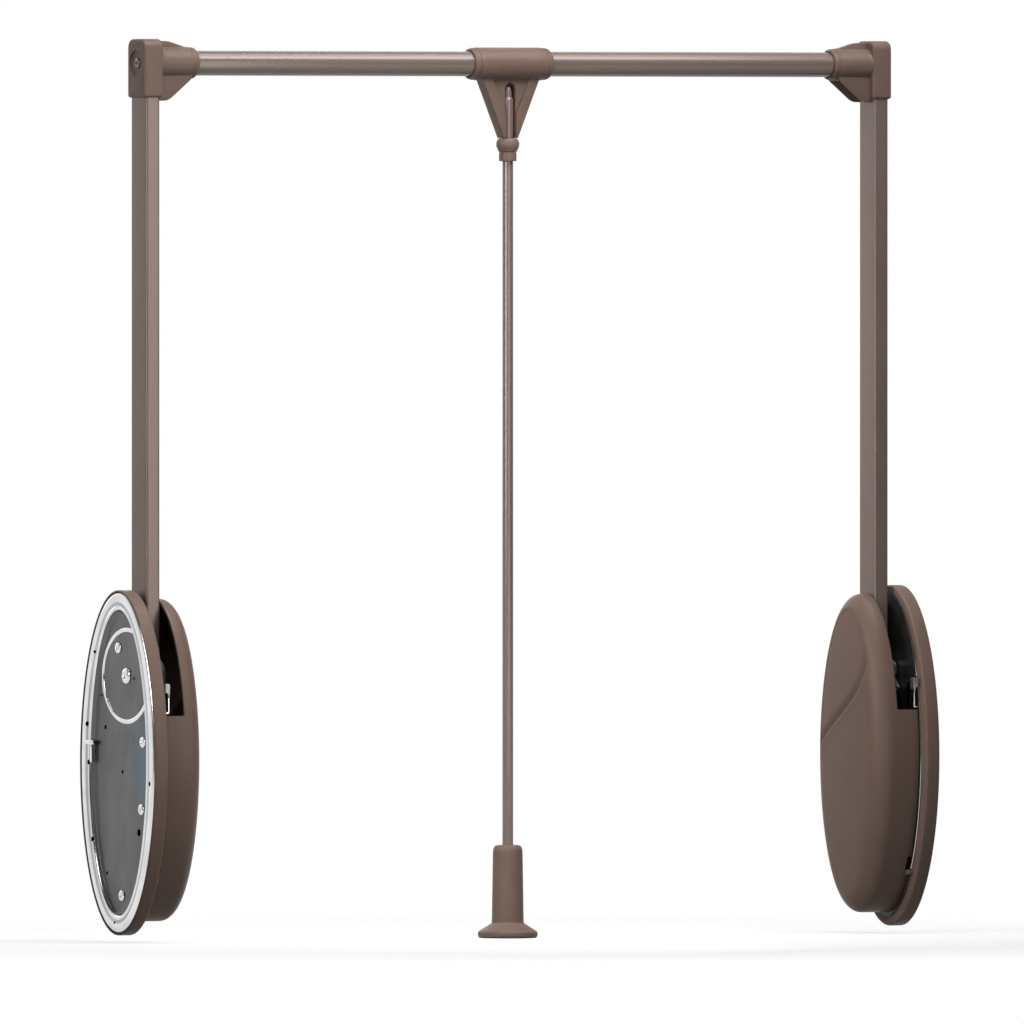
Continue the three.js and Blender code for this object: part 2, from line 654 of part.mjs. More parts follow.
// A bent steel tab on the chassis plate, beside the arm's path at the front of the slot.
function stopHook() {
  const foot = slotFoot + HOOK_SLOT_RISE;
  const heightShare = (foot + HOOK_HEIGHT - HOUSING_HEIGHT) / (HOUSING_HALF_TALL - CHASSIS_INSET);
  const edgeY = -(HOUSING_HALF_DEEP - CHASSIS_INSET) * Math.sqrt(1 - heightShare ** 2);
  const root = chassisInner + GAP;
  const plate = box([root, root + HOOK_STEEL], [edgeY, edgeY + HOOK_FOOT_WIDTH], [foot, foot + HOOK_HEIGHT]);
  const tabFront = edgeY - HOOK_TAB_PROUD;
  const tab = slabX(
    polygon([
      [tabFront, foot + HOOK_HEIGHT],
      [tabFront, foot + HOOK_HEIGHT * HOOK_TAIL_SHARE],
      [edgeY, foot],
      [edgeY + HOOK_STEEL, foot],
      [edgeY + HOOK_STEEL, foot + HOOK_HEIGHT],
    ]),
    root,
    root + HOOK_TAB_REACH,
  );
  return plate.add(tab);
}

function armTube() {
  const middle = (armOuter + armInner) / 2;
  const outline = roundedRectangle(middle, 0, ARM_WIDE, ARM_DEEP, ARM_CORNER);
  const hollow = roundedRectangle(
    middle, 0, ARM_WIDE - 2 * ARM_WALL, ARM_DEEP - 2 * ARM_WALL, ARM_CORNER - ARM_WALL,
  );
  const top = BAR_HEIGHT + ARM_TOP_RISE;
  return cutBy(slabZ(outline, armFootTop + GAP, top), [
    slabZ(hollow, armFootTop - OVERRUN, top + OVERRUN),
    rodX(SCREW_RADIUS + FIT, 0, HOUSING_THICK, 0, BAR_HEIGHT, SMALL_SIDES),
  ]);
}

// The cast foot: an eye round the pivot, a neck under the tube and a tenon inside it.
function armFoot() {
  const neck = box([armOuter, armInner], [-ARM_DEEP / 2, ARM_DEEP / 2], [pivotHeight, armFootTop]);
  const eye = rodX(FOOT_RADIUS, armOuter, armInner, pivotY, pivotHeight, LARGE_SIDES);
  const inset = ARM_WALL + GAP;
  const tenon = box(
    [armOuter + inset, armInner - inset],
    [-ARM_DEEP / 2 + inset + ARM_WALL, ARM_DEEP / 2 - inset - ARM_WALL],
    [armFootTop, armFootTop + TENON_TALL],
  );
  const bore = rodX(
    AXLE_RADIUS + BUSH_WALL + 2 * FIT, armOuter - OVERRUN, armInner + OVERRUN, pivotY, pivotHeight,
    MEDIUM_SIDES,
  );
  return joined([neck, eye, tenon]).subtract(bore);
}

function armBush() {
  const inner = AXLE_RADIUS + FIT;
  return turnedX(
    [
      [inner, armOuter],
      [inner + BUSH_WALL, armOuter],
      [inner + BUSH_WALL, armInner],
      [inner, armInner],
      [inner, armOuter],
    ],
    pivotY,
    pivotHeight,
    MEDIUM_SIDES,
  );
}

// A toothed fan on a round hub, with a tooth that points straight back at rest.
function sectorGear() {
  const step = (2 * Math.PI) / TEETH_ROUND;
  const at = (radius, angle) => [pivotY + radius * Math.cos(angle), pivotHeight + radius * Math.sin(angle)];
  const root = PITCH_RADIUS - DEDENDUM;
  const tip = PITCH_RADIUS + ADDENDUM;
  const outline = [[pivotY, pivotHeight]];
  for (let tooth = -TEETH_BELOW; tooth <= TEETH_ABOVE; tooth++) {
    const middle = tooth * step;
    outline.push(at(root, middle - TOOTH_ROOT_SHARE * step));
    outline.push(at(tip, middle - TOOTH_TIP_SHARE * step));
    outline.push(at(tip, middle + TOOTH_TIP_SHARE * step));
    outline.push(at(root, middle + TOOTH_ROOT_SHARE * step));
  }
  const hub = rodX(GEAR_HUB_RADIUS, gearOuter, armOuter - GAP, pivotY, pivotHeight, MEDIUM_SIDES);
  const bore = rodX(AXLE_RADIUS + FIT, 0, armOuter + OVERRUN, pivotY, pivotHeight, MEDIUM_SIDES);
  return slabX(polygon(outline), gearOuter, gearInner).add(hub).subtract(bore);
}

// The rack and its foot, one steel piece, with gaps where the sector's teeth stand at rest.
function rack() {
  const top = pivotHeight + RACK_TOP_RISE;
  const tipY = rackPitchY - ADDENDUM;
  const rootY = rackPitchY + DEDENDUM;
  const teeth = Math.ceil((rackTravel + 2 * RACK_TOP_RISE) / toothPitch);
  const outline = [[rackBackY, rackFootBottom], [rackBackY, top], [rootY, top]];
  for (let tooth = 0; tooth < teeth; tooth++) {
    const middle = pivotHeight + (FIRST_RACK_TOOTH - tooth) * toothPitch;
    outline.push([rootY, middle + TOOTH_ROOT_SHARE * toothPitch]);
    outline.push([tipY, middle + TOOTH_TIP_SHARE * toothPitch]);
    outline.push([tipY, middle - TOOTH_TIP_SHARE * toothPitch]);
    outline.push([rootY, middle - TOOTH_ROOT_SHARE * toothPitch]);
  }
  outline.push([rootY, rackFootBottom]);
  const foot = box(
    [gearOuter, RACK_FOOT_REACH],
    [-DAMPER_FORWARD - DAMPER_RADIUS, ROD_BACK + NUT_FLANGE_RADIUS],
    [rackFootBottom, rackFootTop],
  );
  const rodHoles = [ROD_BACK, -DAMPER_FORWARD].map((y) =>
    rodZ(ROD_RADIUS + FIT, rackFootBottom - OVERRUN, rackFootTop + OVERRUN, ROD_STANDOFF, y),
  );
  return cutBy(slabX(polygon(outline), gearOuter, gearInner).add(foot), rodHoles);
}

function pullRod() {
  const headFoot = rackFootTop + GAP;
  return turnedZ(
    [
      [0, nutBottom - ROD_TAIL],
      [ROD_RADIUS, nutBottom - ROD_TAIL],
      [ROD_RADIUS, headFoot],
      [ROD_HEAD_RADIUS, headFoot],
      [ROD_HEAD_RADIUS, headFoot + ROD_HEAD_TALL],
      [0, headFoot + ROD_HEAD_TALL],
    ],
    ROD_STANDOFF,
    ROD_BACK,
  );
}

// A six sided nut with a round flange that the spring stands on.
function springNut() {
  const nut = rodZ(NUT_RADIUS, nutBottom, nutTop, ROD_STANDOFF, ROD_BACK, NUT_SIDES);
  const flange = rodZ(
    NUT_FLANGE_RADIUS, nutTop - NUT_FLANGE_TALL, nutTop, ROD_STANDOFF, ROD_BACK, MEDIUM_SIDES,
  );
  return nut
    .add(flange)
    .subtract(rodZ(ROD_RADIUS + FIT, nutBottom - OVERRUN, nutTop + OVERRUN, ROD_STANDOFF, ROD_BACK));
}

// The damper's piston rod, with a shoulder under the rack's foot and a piston in the barrel.
function damperRod() {
  const shoulderTop = rackFootBottom - GAP;
  const pistonTop = pistonFoot + ROD_HEAD_TALL;
  return turnedZ(
    [
      [0, pistonFoot],
      [DAMPER_RADIUS - DAMPER_WALL - FIT, pistonFoot],
      [DAMPER_RADIUS - DAMPER_WALL - FIT, pistonTop],
      [ROD_RADIUS, pistonTop],
      [ROD_RADIUS, shoulderTop - ROD_HEAD_TALL],
      [ROD_HEAD_RADIUS, shoulderTop - ROD_HEAD_TALL],
      [ROD_HEAD_RADIUS, shoulderTop],
      [ROD_RADIUS, shoulderTop],
      [ROD_RADIUS, rackFootTop + ROD_TAIL],
      [0, rackFootTop + ROD_TAIL],
    ],
    ROD_STANDOFF,
    -DAMPER_FORWARD,
  );
}

// A rubber pad on the arm's back that meets the end of the cover's slot at rest.
function restBumper() {
  const coverHalfDeep = HOUSING_HALF_DEEP - COVER_INSET;
  const coverHalfTall = HOUSING_HALF_TALL - COVER_INSET;
  const middle = HOUSING_HEIGHT + coverHalfTall * Math.sqrt(1 - (slotBackY / coverHalfDeep) ** 2);
  return box(
    [armOuter + BUMPER_SIDE_ROOM, armInner - BUMPER_SIDE_ROOM],
    [ARM_DEEP / 2 + GAP, slotBackY - GAP],
    [middle - BUMPER_TALL / 2, middle + BUMPER_TALL / 2],
  );
}

// The bracket's block seen from the wall: wide curves at the top and small ones at the foot.
function bracketOutline() {
  const half = ARM_DEEP / 2 + BRACKET_SIDE_WALL;
  const [foot, top] = [BAR_HEIGHT - BRACKET_DROP, BAR_HEIGHT + BRACKET_RISE];
  const shape = new THREE.Shape();
  shape.absarc(half - BRACKET_FOOT_ROUND, foot + BRACKET_FOOT_ROUND, BRACKET_FOOT_ROUND, -Math.PI / 2, 0);
  shape.absarc(half - BRACKET_ROUND, top - BRACKET_ROUND, BRACKET_ROUND, 0, Math.PI / 2);
  shape.absarc(-half + BRACKET_ROUND, top - BRACKET_ROUND, BRACKET_ROUND, Math.PI / 2, Math.PI);
  shape.absarc(
    -half + BRACKET_FOOT_ROUND, foot + BRACKET_FOOT_ROUND, BRACKET_FOOT_ROUND, Math.PI, (3 * Math.PI) / 2,
  );
  return shape;
}

function cornerBracket() {
  const block = slabX(bracketOutline(), bracketOuter, bracketInner);
  const socket = turnedX(
    [
      [0, bracketInner - BRACKET_WALL / 2],
      [SOCKET_RADIUS, bracketInner - BRACKET_WALL / 2],
      [SOCKET_RADIUS, socketEnd - SOCKET_LIP],
      [SOCKET_RADIUS - SOCKET_LIP_SINK, socketEnd],
      [0, socketEnd],
    ],
    0,
    BAR_HEIGHT,
    LARGE_SIDES,
  );
  const rootX = bracketInner - BRACKET_WALL / 2;
  const gussetOutline = polygon([
    [rootX, BAR_HEIGHT],
    [rootX, BAR_HEIGHT - GUSSET_DROP],
    [bracketInner + GUSSET_FLAT, BAR_HEIGHT - GUSSET_DROP],
    [socketEnd - SOCKET_LIP, BAR_HEIGHT - SOCKET_RADIUS],
    [socketEnd - SOCKET_LIP, BAR_HEIGHT],
  ]);
  const gussets = [-1, 1].map((side) => {
    const middle = (side * (GUSSET_SPREAD - GUSSET_WALL)) / 2;
    return slabY(gussetOutline, middle - GUSSET_WALL / 2, middle + GUSSET_WALL / 2);
  });
  const topWeb = slabY(
    polygon([
      [rootX, BAR_HEIGHT],
      [socketEnd - SOCKET_LIP, BAR_HEIGHT],
      [socketEnd - SOCKET_LIP, BAR_HEIGHT + SOCKET_RADIUS],
      [bracketInner + TOP_WEB_FLAT, BAR_HEIGHT + TOP_WEB_RISE],
      [rootX, BAR_HEIGHT + TOP_WEB_RISE],
    ]),
    -TOP_WEB_THICK / 2,
    TOP_WEB_THICK / 2,
  );
  const pocket = box(
    [armOuter - GAP, armInner + GAP],
    [-ARM_DEEP / 2 - GAP, ARM_DEEP / 2 + GAP],
    [BAR_HEIGHT - BRACKET_DROP - OVERRUN, BAR_HEIGHT + ARM_TOP_RISE + GAP],
  );
  const barBore = turnedX(
    [
      [barInnerRadius - GAP, bracketInner],
      [BAR_RADIUS + GAP, bracketInner],
      [BAR_RADIUS + GAP, socketEnd + OVERRUN],
      [0, socketEnd + OVERRUN],
      [0, bracketInner + BOSS_REACH],
      [barInnerRadius - GAP, bracketInner + BOSS_REACH],
      [barInnerRadius - GAP, bracketInner],
    ],
    0,
    BAR_HEIGHT,
    LARGE_SIDES,
  );
  const recess = rodX(SCREW_RECESS_RADIUS, 0, bracketOuter + SCREW_RECESS_SINK, 0, BAR_HEIGHT, MEDIUM_SIDES);
  const screwSeat = rodX(
    SCREW_HEAD_RADIUS + GAP, 0, bracketOuter + SCREW_RECESS_SINK + SCREW_HEAD_TALL / 2, 0, BAR_HEIGHT,
    SMALL_SIDES,
  );
  const screwHole = rodX(
    SCREW_RADIUS + FIT, 0, bracketOuter + SCREW_LENGTH + OVERRUN, 0, BAR_HEIGHT, SMALL_SIDES,
  );
  return cutBy(joined([block, socket, ...gussets, topWeb]), [pocket, barBore, recess, screwSeat, screwHole]);
}

function bracketScrew() {
  const headFoot = bracketOuter + SCREW_RECESS_SINK + SCREW_HEAD_TALL / 2 - GAP;
  const headTop = headFoot - SCREW_HEAD_TALL;
  const screw = turnedX(
    [
      [0, headTop],
      [SCREW_HEAD_RADIUS / 2, headTop],
      [SCREW_HEAD_RADIUS, headTop + SCREW_HEAD_TALL / 2],
      [SCREW_HEAD_RADIUS, headFoot],
      [SCREW_RADIUS, headFoot],
      [SCREW_RADIUS, bracketOuter + SCREW_LENGTH],
      [0, bracketOuter + SCREW_LENGTH],
    ],
    0,
    BAR_HEIGHT,
    SMALL_SIDES,
  );
  const reach = SCREW_HEAD_RADIUS / 2;
  const thin = SCREW_DRIVE_WIDTH / 2;
  const drive = [[reach, thin], [thin, reach]].map(([y, z]) =>
    box([headTop - OVERRUN, headTop + SCREW_DRIVE_SINK], [-y, y], [BAR_HEIGHT - z, BAR_HEIGHT + z]),
  );
  return cutBy(screw, drive);
}

function tube(radius, wall, x0, x1) {
  return rodX(radius, x0, x1, 0, BAR_HEIGHT, LARGE_SIDES).subtract(
    rodX(radius - wall, x0 - OVERRUN, x1 + OVERRUN, 0, BAR_HEIGHT, LARGE_SIDES),
  );
}

// The bar's two halves start in the brackets' sockets and meet under the handle's sleeve.
function leftBarTube() {
  return tube(BAR_RADIUS, TUBE_WALL, -WALL_SPAN / 2 + bracketInner + GAP, barSeam - GAP);
}

function rightBarTube() {
  return tube(BAR_RADIUS, TUBE_WALL, barSeam, WALL_SPAN / 2 - bracketInner - GAP);
}

function innerTube() {
  return tube(barInnerRadius - GAP, TUBE_WALL, barSeam - INNER_TUBE_BACK, innerTubeEnd);
}

// The sleeve on the bar and its triangular web with a window over the pole's head.
function pullSleeve() {
  const half = SLEEVE_LENGTH / 2;
  const barrel = turnedX(
    [
      [0, -half],
      [SLEEVE_RADIUS - SLEEVE_LIP_SINK, -half],
      [SLEEVE_RADIUS, -half + SLEEVE_LIP_SINK],
      [SLEEVE_RADIUS, half - SLEEVE_LIP_SINK],
      [SLEEVE_RADIUS - SLEEVE_LIP_SINK, half],
      [0, half],
    ],
    0,
    BAR_HEIGHT,
    LARGE_SIDES,
  );
  const foot = BAR_HEIGHT - WEB_DROP;
  const outline = [
    [-WEB_TOP_HALF, BAR_HEIGHT - SLEEVE_RADIUS / 2],
    [-WEB_FOOT_HALF, foot],
    [WEB_FOOT_HALF, foot],
    [WEB_TOP_HALF, BAR_HEIGHT - SLEEVE_RADIUS / 2],
  ];
  const panel = [
    [-WEB_TOP_HALF + WEB_PANEL_INSET, BAR_HEIGHT],
    [-WEB_FOOT_HALF, foot + WEB_PANEL_RISE],
    [WEB_FOOT_HALF, foot + WEB_PANEL_RISE],
    [WEB_TOP_HALF - WEB_PANEL_INSET, BAR_HEIGHT],
  ];
  const panelCuts = [
    slabY(polygon(panel), -WEB_BORDER_THICK, -WEB_THICK / 2),
    slabY(polygon(panel), WEB_THICK / 2, WEB_BORDER_THICK),
  ];
  const web = cutBy(slabY(polygon(outline), -WEB_BORDER_THICK / 2, WEB_BORDER_THICK / 2), panelCuts);
  const slotTop = BAR_HEIGHT - WEB_SLOT_TOP_DROP - WEB_SLOT_HALF;
  const slotBack = WEB_BORDER_THICK / 2 - WEB_SLOT_BACK_WALL;
  const slot = new THREE.Shape();
  slot.moveTo(-WEB_SLOT_HALF, foot - OVERRUN);
  slot.lineTo(WEB_SLOT_HALF, foot - OVERRUN);
  slot.absarc(0, slotTop, WEB_SLOT_HALF, 0, Math.PI);
  const bore = rodX(BAR_RADIUS + GAP, -SLEEVE_LENGTH, SLEEVE_LENGTH, 0, BAR_HEIGHT, LARGE_SIDES);
  return barrel.add(web).subtract(slabY(slot, -WEB_BORDER_THICK, slotBack, 2 * ROUND_STEPS)).subtract(bore);
}

function pullPole() {
  const shoulder = BAR_HEIGHT - POLE_SHOULDER_DROP;
  const neckTop = shoulder + POLE_NECK_TALL;
  return turnedZ(
    [
      [0, GRIP_HEIGHT - GRIP_SOCKET_DEPTH + GAP],
      [POLE_RADIUS, GRIP_HEIGHT - GRIP_SOCKET_DEPTH + GAP],
      [POLE_RADIUS, shoulder],
      [POLE_NECK_RADIUS, shoulder + POLE_RADIUS - POLE_NECK_RADIUS],
      [POLE_NECK_RADIUS, neckTop - POLE_NECK_RADIUS / 2],
      [POLE_NECK_RADIUS / 2, neckTop],
      [0, neckTop],
    ],
    0,
    0,
    MEDIUM_SIDES,
  );
}

// A ring round the pole: a profile of [radius, height] outside, closed along the pole's own clearance.
function poleRing(outside) {
  const inner = POLE_RADIUS + FIT;
  const [first, last] = [outside[0], outside[outside.length - 1]];
  return turnedZ([[inner, first[1]], ...outside, [inner, last[1]], [inner, first[1]]], 0, 0, MEDIUM_SIDES);
}

function ballCollar() {
  const waist = FERRULE_RADIUS;
  return poleRing([
    [waist, collarTop - COLLAR_TALL],
    ...COLLAR_BELT_SHARES.map((share) => [COLLAR_RADIUS, collarTop - COLLAR_TALL * share]),
    [waist, collarTop],
  ]);
}

function poleFerrule() {
  return poleRing([[FERRULE_RADIUS, ferruleTop - FERRULE_TALL], [FERRULE_RADIUS, ferruleTop]]);
}

function pullGrip() {
  const socket = POLE_RADIUS + FIT;
  return turnedZ(
    [
      [0, 0],
      [GRIP_FLANGE_RADIUS - GRIP_RIM_TALL / 2, 0],
      [GRIP_FLANGE_RADIUS, GRIP_RIM_TALL / 2],
      [GRIP_FLANGE_RADIUS, GRIP_RIM_TALL],
      [GRIP_FOOT_RADIUS, GRIP_FLANGE_RISE],
      [GRIP_TOP_RADIUS, GRIP_HEIGHT - GRIP_ROUND],
      [GRIP_TOP_RADIUS - GRIP_ROUND * (1 - Math.SQRT1_2), GRIP_HEIGHT - GRIP_ROUND * (1 - Math.SQRT1_2)],
      [GRIP_TOP_RADIUS - GRIP_ROUND, GRIP_HEIGHT],
      [GRIP_MOUTH_RADIUS, GRIP_HEIGHT],
      [GRIP_MOUTH_RADIUS, GRIP_HEIGHT - GRIP_MOUTH_SINK],
      [socket, GRIP_HEIGHT - GRIP_MOUTH_SINK],
      [socket, GRIP_HEIGHT - GRIP_SOCKET_DEPTH],
      [0, GRIP_HEIGHT - GRIP_SOCKET_DEPTH],
    ],
    0,
    0,
    LARGE_SIDES,
  );
}

// One side with all that its housing holds and the arm that swings in it.
function side(prefix) {
  const group = new THREE.Group();
  const add = (name, solid, material) => addPart(group, prefix + name, solid, material);
  add("shell", shell(), plastic());
  add("wall_plate", wallPlate(), steel());
  add("chassis_plate", chassisPlate(), steel());
  add("cover", cover(), plastic());
  add("pivot_axle", pivotAxle(), steel());
  for (const [place, shares] of Object.entries(RIVET_SHARES)) add("rivet_" + place, rivet(shares), steel());
  add("spring_seat", springSeat(), steel());
  add("lift_spring", spring(), darkSteel());
  add("damper_body", damperBody(), darkSteel());
  add("damper_pin", damperPin(), steel());
  add("stop_hook", stopHook(), steel());
  add("rack", rack(), steel());
  add("pull_rod", pullRod(), steel());
  add("spring_nut", springNut(), steel());
  add("damper_rod", damperRod(), steel());
  add("arm_foot", armFoot(), darkSteel());
  add("arm_tube", armTube(), paint());
  add("arm_bush", armBush(), bronze());
  add("sector_gear", sectorGear(), steel());
  add("rest_bumper", restBumper(), rubber());
  add("corner_bracket", cornerBracket(), plastic());
  add("bracket_screw", bracketScrew(), steel());
  return group;
}

function handle() {
  const group = new THREE.Group();
  group.position.x = HANDLE_OFFSET;
  addPart(group, "pull_sleeve", pullSleeve(), plastic());
  addPart(group, "pull_pole", pullPole(), paint());
  addPart(group, "ball_collar", ballCollar(), plastic());
  addPart(group, "pole_ferrule", poleFerrule(), plastic());
  addPart(group, "pull_grip", pullGrip(), plastic());
  return group;
}

const closetRod = new THREE.Group();
const leftSide = side("left_");
leftSide.position.x = -WALL_SPAN / 2;
const rightSide = side("right_");
rightSide.position.x = WALL_SPAN / 2;
rightSide.scale.x = -1;
closetRod.add(leftSide, rightSide, handle());
addPart(closetRod, "left_bar_tube", leftBarTube(), paint());
addPart(closetRod, "right_bar_tube", rightBarTube(), paint());
addPart(closetRod, "inner_bar_tube", innerTube(), steel());

export default closetRod;
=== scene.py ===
"""A pull down closet rod dressed for the render: two wall housings, two swinging arms, a bar and a pull handle.

Every mesh is shaped in millimetres, with x counted from a side's own wall inward, and is then placed on the
left, mirrored on the right, or set on the middle line. +X runs along the bar, -Y is the front and +Z is up.
"""

import logging
import math
from dataclasses import dataclass, field
from enum import Enum
from typing import Any, Callable, Iterable, Sequence

import bmesh
import bpy
from mathutils import Matrix, Vector


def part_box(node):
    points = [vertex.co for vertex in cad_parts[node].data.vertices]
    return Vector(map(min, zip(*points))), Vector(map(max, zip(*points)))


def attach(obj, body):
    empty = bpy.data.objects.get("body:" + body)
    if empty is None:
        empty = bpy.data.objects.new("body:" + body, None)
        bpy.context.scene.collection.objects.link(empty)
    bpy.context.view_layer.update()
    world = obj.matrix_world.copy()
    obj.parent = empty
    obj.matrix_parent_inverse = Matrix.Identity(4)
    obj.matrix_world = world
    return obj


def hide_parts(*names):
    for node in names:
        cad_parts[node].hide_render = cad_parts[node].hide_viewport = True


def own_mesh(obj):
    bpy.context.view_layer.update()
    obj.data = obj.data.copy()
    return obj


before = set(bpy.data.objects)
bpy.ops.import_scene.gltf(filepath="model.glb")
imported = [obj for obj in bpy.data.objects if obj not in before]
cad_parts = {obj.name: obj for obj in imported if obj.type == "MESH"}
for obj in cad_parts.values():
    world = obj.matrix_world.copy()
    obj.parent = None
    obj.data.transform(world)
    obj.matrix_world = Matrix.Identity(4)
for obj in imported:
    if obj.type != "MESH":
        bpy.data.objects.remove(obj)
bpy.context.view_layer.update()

log = logging.getLogger("closet_rod")

MM = 0.001
FULL_TURN = 2 * math.pi
QUARTER = math.pi / 2
OVAL_SEGMENTS = 192
ROUND_SEGMENTS = 64
SMALL_SEGMENTS = 40
GRID_SHARE = math.sin(math.radians(56.25))
HALVINGS = 20
WELD = 1e-4
SHARP = 38.0
FINE_SHARP = 30.0
WHITE = (1.0, 1.0, 1.0, 1.0)

Point2 = tuple[float, float]
Point3 = tuple[float, float, float]
Corner = tuple[float, float, float]
Colour = tuple[float, float, float]
Piece = bpy.types.Object
Place = Callable[[float, float, float], Vector]
Ring = list[bmesh.types.BMEdge]


class Side(Enum):
    """Where a piece stands: against one of the walls, or on the middle line."""

    LEFT = "left"
    RIGHT = "right"
    MIDDLE = "middle"

    def matrix(self, span: float) -> Matrix:
        """The turn from millimetres counted from the wall to metres in the frame.

        Args:
            span: The distance between the walls, in millimetres.

        Returns:
            A matrix that scales, mirrors the right side and moves the piece to its wall.
        """
        shift = {Side.LEFT: -span / 2, Side.RIGHT: span / 2, Side.MIDDLE: 0.0}[self]
        flip = -1.0 if self is Side.RIGHT else 1.0
        return Matrix.Scale(MM, 4) @ Matrix.Translation((shift, 0, 0)) @ Matrix.Diagonal((flip, 1, 1, 1))


class Axis(Enum):
    """The axis that a profile turns about, or that an outline is pushed along."""

    X = "x"
    Y = "y"
    Z = "z"


class Operation(Enum):
    """What a second solid does to a first one."""

    ADD = "UNION"
    CUT = "DIFFERENCE"
    CROSS = "INTERSECT"


@dataclass(frozen=True)
class Layout:
    """Sizes that several sub-assemblies share, in millimetres."""

    span: float = 920.0
    bar_height: float = 874.0
    housing_height: float = 179.0
    half_tall: float = 171.5
    half_deep: float = 73.6
    pivot: Point2 = (-10.0, 265.5)
    chassis_inner: float = 17.8
    arm_outer: float = 25.0
    arm_inner: float = 41.0
    arm_deep: float = 30.0
    rod_x: float = 33.0
    rod_y: float = 19.0

    def inset_of(self, y: float, z: float) -> float:
        """How far a spot lies inside the housing's outline.

        Args:
            y: The spot's y.
            z: The spot's height.

        Returns:
            The inset of the oval through the spot.
        """
        low, high = 0.0, self.half_deep - 0.01
        for _ in range(HALVINGS):
            middle = (low + high) / 2
            reach = (y / (self.half_deep - middle)) ** 2
            reach += ((z - self.housing_height) / (self.half_tall - middle)) ** 2
            low, high = (middle, high) if reach < 1 else (low, middle)
        return low

    def on_oval(self, depth_share: float, height_share: float) -> Point2:
        """The y and z of a place given as shares of the housing's half depth and half height."""
        return depth_share * self.half_deep, self.housing_height + height_share * self.half_tall

    def oval_matrix(self, x: float, inset: float, rise: float) -> Matrix:
        """The matrix that lays a unit circle on the housing's oval.

        Args:
            x: Distance from the wall.
            inset: Distance inside the housing's outline.
            rise: How far the oval sits above the housing's middle.

        Returns:
            A matrix from the circle's plane to the oval's plane.
        """
        deep, tall = self.half_deep - inset, self.half_tall - inset
        middle = self.housing_height + rise
        return Matrix(((0, 0, 1, x), (deep, 0, 0, 0), (0, tall, 0, middle), (0, 0, 0, 1)))


LAYOUT = Layout()


def smooth_share(value: float, low: float, high: float) -> float:
    """An eased share of the way from low, where it is 0, to high, where it is 1."""
    share = min(max((value - low) / (high - low), 0.0), 1.0)
    return share * share * (3 - 2 * share)


def filleted(corners: Sequence[Corner], closed: bool = True, steps: int = 6) -> list[Point2]:
    """Rounds the corners of an outline.

    Args:
        corners: Two coordinates and the length of edge that the corner's round takes up, for each corner.
        closed: Whether the last corner joins the first.
        steps: Pieces in each round.

    Returns:
        The points of the rounded outline.
    """
    points: list[Point2] = []
    count = len(corners)
    for index, (u, v, cut) in enumerate(corners):
        inside = closed or 0 < index < count - 1
        if cut <= 0 or not inside:
            points.append((u, v))
            continue
        here = Vector((u, v))
        before = Vector(corners[index - 1][:2]) - here
        after = Vector(corners[(index + 1) % count][:2]) - here
        start = here + before.normalized() * min(cut, before.length / 2)
        end = here + after.normalized() * min(cut, after.length / 2)
        for step in range(steps + 1):
            t = step / steps
            spot = start * (1 - t) ** 2 + here * (2 * t * (1 - t)) + end * t**2
            points.append((spot.x, spot.y))
    return points


def shade(data: bpy.types.Mesh, sharp: float) -> None:
    """Smooths a mesh's shade, but for the edges that are sharper than this many degrees."""
    data.shade_smooth()
    data.set_sharp_from_angle(angle=math.radians(sharp))


